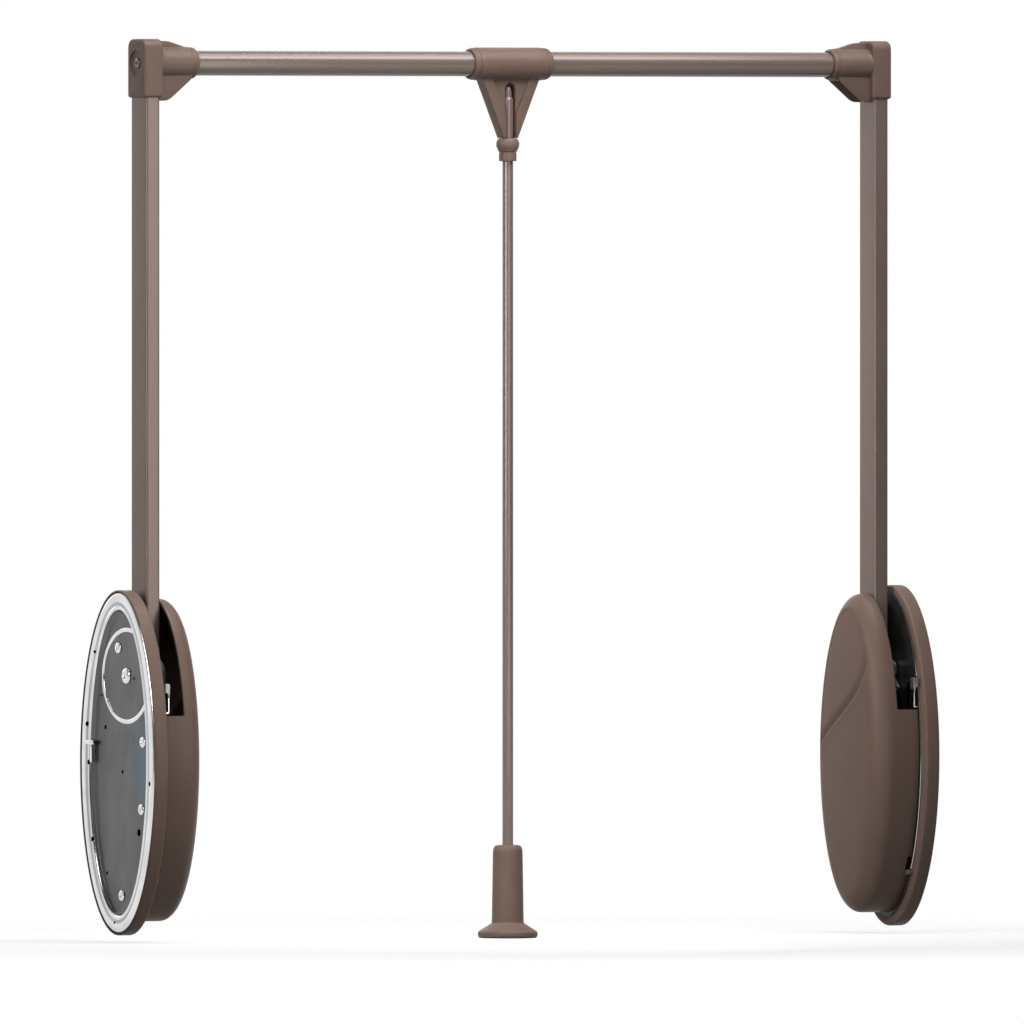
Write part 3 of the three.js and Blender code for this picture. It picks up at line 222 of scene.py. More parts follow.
class Workpiece:
    """A mesh under work, in millimetres."""

    def __init__(self) -> None:
        """Starts with an empty mesh."""
        self.mesh = bmesh.new()

    def loft(self, stations: Sequence[Point2], segments: int = OVAL_SEGMENTS, rise: float = 0.0,
             closed: bool = False) -> list[Ring]:
        """Adds a row of rings on the housing's oval and bridges each to the next.

        Args:
            stations: The distance from the wall and the inset of each ring.
            segments: Edges in a ring.
            rise: How far the rings sit above the housing's middle.
            closed: Whether the last ring joins the first.

        Returns:
            The edges of each ring.
        """
        rings: list[Ring] = []
        for x, inset in stations:
            made = bmesh.ops.create_circle(
                self.mesh, cap_ends=False, segments=segments, radius=1, matrix=LAYOUT.oval_matrix(x, inset, rise))
            rings.append(list({edge for vert in made["verts"] for edge in vert.link_edges}))
        for first, second in zip(rings, rings[1:] + (rings[:1] if closed else [])):
            bmesh.ops.bridge_loops(self.mesh, edges=first + second)
        return rings

    def grid(self, ring: Ring, inset: float, rise: float = 0.0) -> "Workpiece":
        """Fills an oval ring with an even grid between its front and back stretches.

        Args:
            ring: The ring's edges.
            inset: The ring's inset.
            rise: How far the ring sits above the housing's middle.

        Returns:
            The workpiece itself.
        """
        high, middle = GRID_SHARE * (LAYOUT.half_tall - inset), LAYOUT.housing_height + rise
        rails = [e for e in ring if abs((e.verts[0].co.z + e.verts[1].co.z) / 2 - middle) < high]
        bmesh.ops.grid_fill(self.mesh, edges=rails)
        return self

    def fill(self, edges: Ring) -> "Workpiece":
        """Closes a loop of edges with one face."""
        bmesh.ops.contextual_create(self.mesh, geom=edges)
        return self

    def turn(self, profile: Sequence[Point2], axis: Axis, centre: Point2 = (0.0, 0.0),
             segments: int = ROUND_SEGMENTS, closed: bool = False) -> "Workpiece":
        """Spins a profile about an axis.

        Args:
            profile: The radius and the place along the axis of each point.
            axis: X or Z.
            centre: The axis's place, as y and z about X, or as x and y about Z.
            segments: Steps round the axis.
            closed: Whether the last point joins the first.

        Returns:
            The workpiece itself.
        """
        about_x = axis is Axis.X
        base = Vector((0, *centre)) if about_x else Vector((*centre, 0))
        verts = [self.mesh.verts.new(base + Vector((t, 0, r) if about_x else (r, 0, t))) for r, t in profile]
        edges = [self.mesh.edges.new(pair) for pair in zip(verts, verts[1:] + (verts[:1] if closed else []))]
        bmesh.ops.spin(
            self.mesh, geom=verts + edges, cent=base, axis=(1, 0, 0) if about_x else (0, 0, 1), dvec=(0, 0, 0),
            angle=FULL_TURN, steps=segments, use_merge=True, use_duplicate=False)
        bmesh.ops.remove_doubles(self.mesh, verts=self.mesh.verts[:], dist=WELD)
        return self

    def drill(self, radius: float, low: float, high: float, centre: Point2,
              segments: int = ROUND_SEGMENTS) -> "Workpiece":
        """Turns a plain rod along X, with which a hole is cut."""
        return self.turn([(0, low), (radius, low), (radius, high), (0, high)], Axis.X, centre, segments)

    def prism(self, outline: Sequence[Point2], axis: Axis, low: float, high: float) -> "Workpiece":
        """Pushes a flat outline along an axis.

        Args:
            outline: Points as y and z along X, as x and z along Y, or as x and y along Z.
            axis: The axis of the push.
            low: Where the push starts.
            high: Where it ends.

        Returns:
            The workpiece itself.
        """
        places: dict[Axis, Place] = {
            Axis.X: lambda u, v, w: Vector((w, u, v)),
            Axis.Y: lambda u, v, w: Vector((u, w, v)),
            Axis.Z: lambda u, v, w: Vector((u, v, w)),
        }
        place = places[axis]
        face = self.mesh.faces.new([self.mesh.verts.new(place(u, v, low)) for u, v in outline])
        made = bmesh.ops.extrude_face_region(self.mesh, geom=[face], use_keep_orig=True)
        moved = [item for item in made["geom"] if isinstance(item, bmesh.types.BMVert)]
        bmesh.ops.translate(self.mesh, verts=moved, vec=place(0, 0, high - low))
        return self

    def block(self, low: Point3, high: Point3) -> "Workpiece":
        """Adds a box.

        Args:
            low: Its lowest corner.
            high: Its highest corner.

        Returns:
            The workpiece itself.
        """
        centre = [(a + b) / 2 for a, b in zip(low, high)]
        size = [b - a for a, b in zip(low, high)]
        matrix = Matrix.Translation(centre) @ Matrix.Diagonal((*size, 1))
        bmesh.ops.create_cube(self.mesh, size=1, matrix=matrix)
        return self

    def outward(self) -> None:
        """Turns every face of the mesh outwards."""
        bmesh.ops.recalc_face_normals(self.mesh, faces=self.mesh.faces[:])

    def soften(self, width: float, segments: int = 3, sharper_than: float = 40.0,
               where: Callable[[Vector], bool] | None = None) -> "Workpiece":
        """Rounds the sharp edges.

        Args:
            width: The bevel's width.
            segments: Steps in the bevel.
            sharper_than: Edges are rounded where their faces meet at more than this many degrees.
            where: A test on an edge's middle that picks the edges, or None for all.

        Returns:
            The workpiece itself.
        """
        self.outward()
        limit = math.radians(sharper_than)
        picked = [
            edge
            for edge in self.mesh.edges
            if len(edge.link_faces) == 2
            and edge.calc_face_angle(0.0) > limit
            and (where is None or where((edge.verts[0].co + edge.verts[1].co) / 2))
        ]
        bmesh.ops.bevel(
            self.mesh, geom=picked, offset=width, offset_type="OFFSET", segments=segments, profile=0.5,
            affect="EDGES", clamp_overlap=True, material=-1)
        return self

    def to_object(self, name: str, side: Side, sharp: float = SHARP) -> Piece:
        """Makes the finished object, placed in metres at the origin.

        Args:
            name: The object's name.
            side: Where it stands.
            sharp: Edges sharper than this many degrees keep a crisp shade.

        Returns:
            The object, linked to the scene.
        """
        bmesh.ops.transform(self.mesh, matrix=side.matrix(LAYOUT.span), verts=self.mesh.verts[:])
        self.outward()
        data = bpy.data.meshes.new(name)
        self.mesh.to_mesh(data)
        self.mesh.free()
        shade(data, sharp)
        made = bpy.data.objects.new(name, data)
        bpy.context.scene.collection.objects.link(made)
        return made


def bake(piece: Piece, sharp: float) -> Piece:
    """Turns a piece's modifiers into its mesh.

    Args:
        piece: The object with its modifiers.
        sharp: Edges sharper than this many degrees keep a crisp shade.

    Returns:
        The piece without modifiers.
    """
    bpy.context.view_layer.update()
    data = bpy.data.meshes.new_from_object(piece.evaluated_get(bpy.context.evaluated_depsgraph_get()))
    piece.modifiers.clear()
    spent, piece.data = piece.data, data
    bpy.data.meshes.remove(spent)
    data.name = piece.name
    shade(data, sharp)
    return piece


@dataclass(frozen=True)
class Wiring:
    """Adds nodes to one tree and joins them."""

    tree: bpy.types.NodeTree

    def feed(self, node: bpy.types.Node, sockets: dict[str | int, Any]) -> None:
        """Gives input sockets their plain values, or joins them to other nodes' outputs.

        Args:
            node: The node that takes them.
            sockets: The value or the output for each input socket.
        """
        for socket, value in sockets.items():
            if isinstance(value, bpy.types.NodeSocket):
                self.tree.links.new(value, node.inputs[socket])
            else:
                node.inputs[socket].default_value = value

    def add(self, kind: str, sockets: dict[str | int, Any] | None = None, **settings: str) -> bpy.types.Node:
        """Adds a node.

        Args:
            kind: The node's type.
            sockets: The value or the output for each input socket.
            settings: The node's own options.

        Returns:
            The new node.
        """
        node = self.tree.nodes.new(f"ShaderNode{kind}")
        for name, value in settings.items():
            setattr(node, name, value)
        self.feed(node, sockets or {})
        return node

    def fold(self, operation: str, first: bpy.types.NodeSocket, *others: Any) -> bpy.types.NodeSocket:
        """Combines shares one after another.

        Args:
            operation: The math nodes' operation.
            first: The first share.
            others: Further shares, or plain numbers.

        Returns:
            The combined share.
        """
        for other in others:
            first = self.add("Math", {0: first, 1: other}, operation=operation).outputs["Value"]
        return first

    def noise(self, vector: bpy.types.NodeSocket, size: float, detail: float) -> bpy.types.NodeSocket:
        """The value of a noise with blots of a real size in millimetres."""
        sockets = {"Vector": vector, "Scale": 1 / (size * MM), "Detail": detail}
        return self.add("TexNoise", sockets).outputs["Fac"]


@dataclass(frozen=True)
class Finish:
    """A surface finish, with sizes in millimetres.

    Its colour and its roughness wander between two levels over patches of one size. Its grain is a fine bump.
    """

    name: str
    slot: str
    colour: Colour
    other_colour: Colour
    roughness: float
    spread: float
    metallic: float = 0.0
    specular: float = 0.5
    patch: float = 60.0
    stretch: Point3 = (1.0, 1.0, 1.0)
    grain: float = 0.6
    depth: float = 0.02
    strength: float = 0.35
    ramp_ends: Point2 = (0.35, 0.65)
    noise_ends: Point2 = (0.3, 0.7)

    def material(self) -> bpy.types.Material:
        """The finish's material, made once.

        Returns:
            The material of this name.
        """
        name = f"{self.name}_finish"
        known = bpy.data.materials.get(name)
        if known is not None:
            return known
        made = bpy.data.materials.new(name)
        made.use_nodes = True
        made.diffuse_color = (*self.colour, 1.0)
        self.wire(Wiring(made.node_tree), made.node_tree.nodes["Principled BSDF"])
        return made

    def wire(self, wiring: Wiring, shader: bpy.types.Node) -> None:
        """Joins the nodes that give colour, roughness and grain.

        Args:
            wiring: The material's wiring.
            shader: The material's shader.
        """
        place = wiring.add("TexCoord").outputs["Object"]
        stretched = wiring.add("Mapping", {"Vector": place, "Scale": self.stretch}).outputs["Vector"]
        patches = wiring.noise(stretched, self.patch, 4.0)
        ramp = wiring.add("ValToRGB", {"Fac": patches})
        low, high = ramp.color_ramp.elements
        low.position, high.position = self.ramp_ends
        low.color, high.color = (*self.colour, 1.0), (*self.other_colour, 1.0)
        rough = wiring.add("MapRange", {
            "Value": patches, "From Min": self.noise_ends[0], "From Max": self.noise_ends[1],
            "To Min": self.roughness - self.spread, "To Max": self.roughness + self.spread})
        bump = wiring.add("Bump", {
            "Height": wiring.noise(place, self.grain, 2.0), "Strength": self.strength, "Distance": self.depth * MM})
        wiring.feed(shader, {
            "Metallic": self.metallic, "Specular IOR Level": self.specular, "Base Color": ramp.outputs["Color"],
            "Roughness": rough.outputs["Result"], "Normal": bump.outputs["Normal"]})


@dataclass(frozen=True)
class DishSteel(Finish):
    """Zinc sheet much darker than the flange's, as painted shade and dark reflection in the dish, with its own cloudy
    spangles and a cool stain near the front of the middle.
    """

    stain: Colour = (0.10, 0.16, 0.19)
    stain_y: float = -44.0
    stain_height: float = 180.0
    stain_reach: float = 30.0
    stain_tall: float = 0.6

    def wire(self, wiring: Wiring, shader: bpy.types.Node) -> None:
        """Joins the plain finish's nodes, then lays the stain over its colour.

        Args:
            wiring: The material's wiring.
            shader: The material's shader.
        """
        super().wire(wiring, shader)
        base = shader.inputs["Base Color"].links[0].from_socket
        reach = 1 / (self.stain_reach * MM)
        centre = (0, -self.stain_y * MM * reach, -self.stain_height * MM * reach * self.stain_tall)
        place = wiring.add("Mapping", {
            "Vector": wiring.add("TexCoord").outputs["Object"], "Location": centre,
            "Scale": (0, reach, reach * self.stain_tall)})
        spot = wiring.add("TexGradient", {"Vector": place.outputs["Vector"]}, gradient_type="SPHERICAL")
        mix = wiring.add("Mix", data_type="RGBA")
        wiring.feed(mix, {"Factor": spot.outputs["Fac"], 6: base, 7: (*self.stain, 1.0)})
        wiring.feed(shader, {"Base Color": mix.outputs[2]})


COVER_PLASTIC = Finish(
    "cover_plastic", "cover_plastic", (0.126, 0.085, 0.068), (0.136, 0.092, 0.074), 0.42, 0.03, specular=0.14,
    patch=55, grain=0.55, strength=0.22)
SHELL_PLASTIC = Finish(
    "shell_plastic", "cover_plastic", (0.142, 0.097, 0.078), (0.152, 0.105, 0.085), 0.42, 0.03, specular=0.12,
    patch=55, grain=0.55, strength=0.22)
BRACKET_PLASTIC = Finish(
    "bracket_plastic", "bracket_plastic", (0.106, 0.072, 0.059), (0.115, 0.079, 0.065), 0.42, 0.03, specular=0.15,
    patch=18, grain=0.5, strength=0.25)
GRIP_PLASTIC = Finish(
    "grip_plastic", "bracket_plastic", (0.116, 0.079, 0.065), (0.126, 0.087, 0.073), 0.46, 0.03, specular=0.15,
    patch=20, grain=0.5, strength=0.3)
ARM_PAINT = Finish(
    "arm_paint", "painted_steel", (0.156, 0.115, 0.102), (0.166, 0.124, 0.110), 0.32, 0.03, metallic=0.35,
    specular=0.2, patch=70, grain=0.35, depth=0.008, strength=0.18)
BAR_PAINT = Finish(
    "bar_paint", "painted_steel", (0.118, 0.086, 0.075), (0.127, 0.093, 0.081), 0.25, 0.01, metallic=0.12,
    specular=0.6, patch=80, stretch=(0.3, 1, 1), grain=0.4, depth=0.003, strength=0.12)
POLE_PAINT = Finish(
    "pole_paint", "painted_steel", (0.160, 0.118, 0.111), (0.170, 0.126, 0.119), 0.2, 0.01, metallic=0.25,
    patch=80, stretch=(1, 1, 0.3), grain=0.4, depth=0.003, strength=0.12)
BRIGHT_STEEL = Finish(
    "bright_steel", "zinc_steel", (0.66, 0.67, 0.68), (0.78, 0.785, 0.79), 0.13, 0.05, metallic=1.0,
    patch=22, grain=9.0, depth=0.10, strength=0.3)
# Painted shade: near-black steel for the chassis sheet seen in the dark arm slot and for the inside of the screw's
# cross.
SHADED_STEEL = Finish(
    "shaded_steel", "zinc_steel", (0.045, 0.043, 0.042), (0.065, 0.062, 0.06), 0.45, 0.08, metallic=0.8,
    patch=12, grain=0.8, depth=0.01, strength=0.2)
RIVET_STEEL = Finish(
    "rivet_steel", "zinc_steel", (0.66, 0.66, 0.67), (0.80, 0.80, 0.81), 0.16, 0.05, metallic=1.0,
    patch=3, grain=0.8, depth=0.015, strength=0.2)
# Painted shade and dark reflection: the dish's floor and wall are far darker than the flange of the same pressing; the
# spangle patches and the cool stain are the zinc's own.
SHADED_DISH_STEEL = DishSteel(
    "shaded_dish_steel", "zinc_steel", (0.105, 0.106, 0.108), (0.155, 0.157, 0.160), 0.36, 0.07, metallic=0.92,
    patch=24, stretch=(1, 1, 0.45), grain=1.1, depth=0.015, strength=0.2)
# Painted shade: a grey band for the flange's groove, darker than the pressing's own bright steel.
GROOVE_SHADE_STEEL = Finish(
    "groove_shade_steel", "zinc_steel", (0.36, 0.362, 0.366), (0.50, 0.502, 0.506), 0.24, 0.05, metallic=1.0,
    patch=30, stretch=(1, 1, 0.4), grain=6.0, depth=0.06, strength=0.3)
SCREW_STEEL = Finish(
    "screw_steel", "zinc_steel", (0.15, 0.147, 0.144), (0.22, 0.217, 0.214), 0.3, 0.05, metallic=1.0,
    patch=3, grain=0.5, depth=0.01, strength=0.3)
ZINC_STEEL = Finish(
    "zinc_steel", "zinc_steel", (0.40, 0.405, 0.41), (0.48, 0.485, 0.49), 0.30, 0.04, metallic=1.0,
    patch=9, grain=0.5, depth=0.006, strength=0.15)
HOOK_STEEL = Finish(
    "hook_steel", "zinc_steel", (0.22, 0.20, 0.195), (0.32, 0.295, 0.285), 0.34, 0.06, metallic=0.8,
    patch=4, strength=0.3)
SPRING_STEEL = Finish(
    "spring_steel", "spring_steel", (0.12, 0.12, 0.125), (0.2, 0.2, 0.205), 0.32, 0.07, metallic=1.0,
    patch=3, grain=0.3, depth=0.01, strength=0.3)
CAST_METAL = Finish(
    "cast_metal", "cast_metal", (0.14, 0.14, 0.145), (0.22, 0.22, 0.225), 0.5, 0.08, metallic=0.9,
    patch=3, grain=0.45, depth=0.06, strength=0.6)
BUSH_BRONZE = Finish(
    "bush_bronze", "bush_bronze", (0.36, 0.22, 0.09), (0.47, 0.31, 0.14), 0.38, 0.08, metallic=0.95,
    patch=2.5, grain=0.25, strength=0.4)
BLACK_RUBBER = Finish(
    "black_rubber", "black_rubber", (0.012, 0.012, 0.012), (0.022, 0.021, 0.021), 0.72, 0.08,
    patch=4, grain=0.4, depth=0.05, strength=0.5)


def repaint(piece: Piece, finish: Finish, picks: Callable[[Vector, Vector], bool]) -> None:
    """Gives some faces of a dressed piece another finish.

    Args:
        piece: The dressed piece.
        finish: The other finish.
        picks: A test on a face's middle, in millimetres in the frame, and on its normal.
    """
    piece.data.materials.append(finish.material())
    for face in piece.data.polygons:
        if picks(face.center / MM, face.normal):
            face.material_index = len(piece.data.materials) - 1


@dataclass
class SubAssembly:
    """A group of pieces that stands at one wall or on the middle line."""

    side: Side

    def named(self, name: str) -> str:
        """A name with the side in front, where there is one."""
        return name if self.side is Side.MIDDLE else f"{self.side.value}_{name}"

    def shape(self, work: Workpiece, name: str, sharp: float = SHARP) -> Piece:
        """Makes the object of a workpiece at this side."""
        return work.to_object(self.named(name), self.side, sharp)

    def combine(self, base: Piece, tool: Workpiece | Piece, operation: Operation,
                sharp: float = SHARP) -> Piece:
        """Adds, cuts or crosses two closed solids and drops the second one.

        Args:
            base: The solid that stays.
            tool: The solid that is used up.
            operation: What it does to the base.
            sharp: Edges sharper than this many degrees keep a crisp shade.

        Returns:
            The base with its new mesh.
        """
        spare = tool.to_object("tool", self.side) if isinstance(tool, Workpiece) else tool
        modifier = base.modifiers.new("combine", "BOOLEAN")
        modifier.object, modifier.operation, modifier.solver = spare, operation.value, "MANIFOLD"
        bake(base, sharp)
        data = spare.data
        bpy.data.objects.remove(spare)
        bpy.data.meshes.remove(data)
        return base

    def settle(self, piece: Piece, finish: Finish, body: str, *replaced: str) -> Piece:
        """Dresses a piece and hangs it on its body.

        Args:
            piece: The finished object.
            finish: Its finish.
            body: The body that it moves with.
            replaced: The nodes that it stands for, without the side.

        Returns:
            The piece.
        """
        piece.data.materials.clear()
        piece.data.materials.append(finish.material())
        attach(piece, body)
        if replaced:
            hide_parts(*(self.named(node) for node in replaced))
        log.info("%s: %d faces on %s", piece.name, len(piece.data.polygons), body)
        return piece


@dataclass
class Cover(SubAssembly):
    """The moulded cover with its sunk upper panel, flowing step and arm slot."""

    sharp: float = 42.0
    inset: float = 11.2
    rim: float = 18.1
    side_rings: tuple[float, ...] = (26.0, 34.0, 42.5)
    face: float = 70.0
    rise: float = 2.5
    round_deep: float = 24.0
    round_wide: float = 22.0
    round_power: float = 0.87
    round_steps: int = 19
    wall: float = 2.5
    rim_round: float = 0.4
    rim_angle: float = 55.0
    panel_inset: float = 28.5
    panel_sink: float = 1.5
    panel_ease: float = 4.5
    step_ease: float = 3.8
    valley_deep: float = 8.0
    valley_reach: float = 12.0
    ridge: float = 0.6
    ridge_reach: float = 6.0
    ridge_below: float = 1.8
    ridge_least: float = 0.4
    ridge_fade: float = 50.0
    crown: float = 6.5
    slot_edge: float = 42.5
    slot_back: float = 20.0
    slot_foot: float = 226.0
    notch: Point2 = (64.0, 78.0)
    segments: int = 672
    step_shares: tuple[Point2, ...] = (
        (-0.62, 0.80), (-0.605, 0.70), (-0.575, 0.62), (-0.53, 0.545), (-0.475, 0.48), (-0.40, 0.418),
        (-0.29, 0.36), (-0.165, 0.31), (0.0, 0.257), (0.16, 0.213), (0.32, 0.168), (0.46, 0.125), (0.58, 0.078),
        (0.68, 0.03), (0.77, -0.03), (0.83, -0.09), (0.88, -0.16),
    )
    step_line: list[Vector] = field(default_factory=list)

    def __post_init__(self) -> None:
        """Lays the step's line out on the housing."""
        self.step_line = [Vector(LAYOUT.on_oval(*shares)) for shares in self.step_shares]

    def above_step(self, y: float, z: float) -> float:
        """The signed distance from the step's line.

        Args:
            y: The spot's y.
            z: The spot's height.

        Returns:
            Millimetres, positive on the sunk side above the line.
        """
        spot = Vector((y, z))
        best, sign = math.inf, 1.0
        for start, end in zip(self.step_line, self.step_line[1:]):
            along = end - start
            share = min(max((spot - start).dot(along) / along.length_squared, 0.0), 1.0)
            away = spot - (start + along * share)
            if away.length < best:
                best = away.length
                sign = 1.0 if along.x * away.y - along.y * away.x > 0 else -1.0
        return sign * best

    def shape_face(self, work: Workpiece) -> None:
        """Sinks the upper panel, raises the step's ridge and crowns the face.

        Args:
            work: The cover's skin.
        """
        flat = self.face - self.round_deep
        for vert in work.mesh.verts:
            if vert.co.x <= flat + 0.2:
                continue
            y, z = vert.co.y, vert.co.z
            weight = smooth_share(vert.co.x, flat, self.face - 1.5)
            inset, above = LAYOUT.inset_of(y, z - self.rise), self.above_step(y, z)
            inside = smooth_share(inset, self.panel_inset - self.panel_ease, self.panel_inset)
            over = smooth_share(above, -self.step_ease / 3, self.step_ease)
            fade = smooth_share(z, LAYOUT.housing_height - self.ridge_fade, LAYOUT.housing_height)
            valley = self.valley_deep * max(0.0, 1 - abs(above) / self.valley_reach) ** 2
            sink = (self.panel_sink + valley) * inside * over
            proud = self.ridge * math.exp(-(((above + self.ridge_below) / self.ridge_reach) ** 2)) * inside
            reach = (y / LAYOUT.half_deep) ** 2 + ((z - LAYOUT.housing_height) / LAYOUT.half_tall) ** 2
            vert.co.x += (proud * max(fade, self.ridge_least) - sink) * weight - self.crown * reach * weight

    def build(self) -> Piece:
        """Lofts the skin, opens the slot and gives it its wall.

        Returns:
            The finished cover.
        """
        rim, start = self.rim, self.face - self.round_deep
        stations = [(rim, self.inset + 0.5), (rim + 0.25, self.inset + 0.15), (rim + 0.7, self.inset)]
        stations += [(x, self.inset) for x in self.side_rings]
        stations += [
            (start + self.round_deep * math.sin(t) ** self.round_power,
             self.inset + self.round_wide * (1 - math.cos(t) ** self.round_power))
            for t in (QUARTER * step / self.round_steps for step in range(self.round_steps))
        ] + [(self.face, self.inset + self.round_wide)]
        work = Workpiece()
        rings = work.loft(stations, self.segments, self.rise)
        work.grid(rings[-1], stations[-1][1], self.rise)
        self.shape_face(work)
        self.open_slot(work)
        cover = self.thicken(self.shape(work, "cover_moulding", self.sharp))
        low, high = self.notch
        notch = Workpiece().block((rim - 1.5, -LAYOUT.half_deep, low), (rim + 4.4, -10, high))
        return self.combine(cover, notch, Operation.CUT, self.sharp)

    def snap(self) -> Piece:
        """Moulds the snap below the notch in the cover's rim.

        Returns:
            The finished snap.
        """
        low = self.notch[0]
        work = Workpiece().block((self.rim - 3.8, -46.6, low - 4.5), (self.rim + 3.0, -38.0, low + 0.6))
        return self.shape(work.soften(0.8), "cover_snap")

    def open_slot(self, work: Workpiece) -> None:
        """Cuts the arm's way out of the side wall, from the front over the top.

        Args:
            work: The cover's skin.
        """
        cuts = [((self.slot_edge, 0, 0), (1, 0, 0)), ((0, self.slot_back, 0), (0, 1, 0)),
                ((0, 0, self.slot_foot), (0, 0, 1))]
        for place, normal in cuts:
            faces = [f for f in work.mesh.faces if f.calc_center_median().x < self.slot_edge + 8]
            edges = list({e for f in faces for e in f.edges})
            verts = list({v for f in faces for v in f.verts})
            bmesh.ops.bisect_plane(work.mesh, geom=verts + edges + faces, dist=WELD, plane_co=place, plane_no=normal)
        gone = [
            f for f in work.mesh.faces
            if (c := f.calc_center_median()).x < self.slot_edge and c.y < self.slot_back and c.z > self.slot_foot
        ]
        bmesh.ops.delete(work.mesh, geom=gone, context="FACES")

    def thicken(self, skin: Piece) -> Piece:
        """Gives the skin its wall, inwards, and softens the rim.

        Args:
            skin: The cover's skin, with its faces outwards.

        Returns:
            The cover as one solid.
        """
        wall = skin.modifiers.new("wall", "SOLIDIFY")
        wall.thickness, wall.offset, wall.use_even_offset = self.wall * MM, -1.0, False
        rim = skin.modifiers.new("rim", "BEVEL")
        rim.width, rim.segments = self.rim_round * MM, 2
        rim.limit_method, rim.angle_limit = "ANGLE", math.radians(self.rim_angle)
        return bake(skin, self.sharp)


@dataclass
class Shell(SubAssembly):
    """The painted tray between the cover and the wall."""

    setback: float = 0.6
    inner: float = 16.0
    wall: float = 2.2
    floor: float = 2.0
    ledge_inset: float = 36.0

    def build(self) -> Piece:
        """Lofts the tray's closed section round the oval.

        Returns:
            The finished tray.
        """
        rim, inner, under = self.setback, self.inner, self.inner - self.floor
        work = Workpiece()
        work.loft([
            (rim, self.wall), (rim, 1.1), (rim + 0.15, 0.55), (rim + 0.55, 0.15), (rim + 1.1, 0),
            (5.5, 0), (10.0, 0), (inner - 2.2, 0), (inner - 1.3, 0.2), (inner - 0.55, 0.7), (inner - 0.15, 1.4),
            (inner, 2.2), (inner, 8.0), (inner, self.ledge_inset), (under, self.ledge_inset), (under, 3.4),
            (under - 0.6, 2.5), (under - 1.4, self.wall), (6.0, self.wall),
        ], closed=True)
        return self.shape(work, "shell_tray")


@dataclass
class WallPlate(SubAssembly):
    """The pressed steel dish: a rounded flange with a groove and a bead, a flat floor, holes and a pivot ring.

    The stations of its section give the distance from the wall and the distance inside the flange's edge.
    """

    sharp: float = 50.0
    edge: float = 2.5
    flange: float = 20.0
    floor: float = 5.2
    ring_radius: float = 48.0
    ring_width: float = 4.6
    ring_rise: float = 1.0
    ring_segments: int = 128
    groove: Point2 = (9.2, 13.2)
    bead_end: float = 16.8
    screw_hole: float = 2.6
    back: tuple[Point2, ...] = (
        (6.2, 20.6), (5.6, 19.4), (4.3, 17.8), (3.3, 16.6), (3.0, 14.0), (3.1, 11.5), (2.4, 9.0), (1.5, 6.5),
        (1.4, 4.0), (2.0, 2.0), (2.6, 1.0),
    )
    front: tuple[Point2, ...] = (
        (2.6, 0.0), (1.7, 0.15), (1.05, 0.7), (0.6, 1.6), (0.28, 2.8), (0.1, 4.2), (0.0, 5.6), (0.05, 7.0),
        (0.22, 8.2), (0.5, 9.3), (0.8, 10.4), (1.0, 11.4), (1.05, 12.2), (0.98, 12.9), (0.8, 13.6), (0.6, 14.2),
        (0.5, 14.9), (0.58, 15.6), (0.9, 16.3), (1.5, 17.0), (2.4, 17.8), (3.4, 18.5), (4.3, 19.2), (4.9, 20.0),
        (5.2, 21.2),
    )
    vents: tuple[Point3, ...] = (
        (0.42, 0.204, 2.2), (-0.03, -0.052, 2.0), (-0.46, -0.402, 3.6), (0.38, -0.641, 1.8), (-0.33, 0.49, 1.5),
        (0.52, 0.39, 1.5), (0.60, 0.64, 1.8), (0.082, 0.921, 1.5), (0.08, -0.925, 1.5),
    )
    screws: tuple[Point2, ...] = ((0.80, 0.222), (0.77, 0.0), (0.67, -0.446), (-0.845, -0.117))
    tab_place: Point2 = (0.76, 0.115)

    def build(self) -> Piece:
        """Lofts the pressing, gives it its thickness and cuts its holes.

        Returns:
            The finished plate.
        """
        work = Workpiece()
        stations = [(x, self.edge + inset) for x, inset in (*self.back, *self.front)]
        rings = work.loft(stations)
        work.grid(rings[0], stations[0][1]).grid(rings[-1], stations[-1][1])
        plate = self.shape(work, "wall_plate_pressing", self.sharp)
        for depth, height, radius in (*self.vents, *((*shares, self.screw_hole) for shares in self.screws)):
            hole = Workpiece().drill(radius, -3, 9, LAYOUT.on_oval(depth, height), 24)
            plate = self.combine(plate, hole, Operation.CUT, self.sharp)
        return plate

    def pivot_ring(self) -> Piece:
        """Turns the embossed ring round the pivot and trims it to the dish.

        Returns:
            The finished ring.
        """
        outer, half, foot = self.ring_radius, self.ring_width / 2, self.floor + 0.25
        crest = [
            (outer - half + half * math.cos(t), self.floor - self.ring_rise * math.sin(t))
            for t in (math.pi * step / 10 for step in range(11))
        ]
        profile = [(outer, foot), *crest, (outer - self.ring_width, foot)]
        ring = Workpiece().turn(profile, Axis.X, LAYOUT.pivot, self.ring_segments, closed=True)
        trim = Workpiece()
        inset = self.edge + self.flange - 0.6
        first, second = trim.loft([(-2, inset), (9, inset)], self.ring_segments)
        return self.combine(self.shape(ring, "pivot_ring"), trim.fill(first).fill(second), Operation.CROSS)

    def clip_tab(self) -> Piece:
        """Bends the small locating tab on the back of the flange.

        Returns:
            The finished tab.
        """
        y, z = LAYOUT.on_oval(*self.tab_place)
        ledge = Workpiece().block((0.05, y - 9, z - 2.2), (1.7, y + 6, z + 2.2)).soften(0.6)
        lip = Workpiece().block((0.25, y - 5.5, z - 20), (1.7, y - 2.5, z)).soften(0.5)
        return self.combine(self.shape(ledge, "clip_tab"), lip, Operation.ADD)


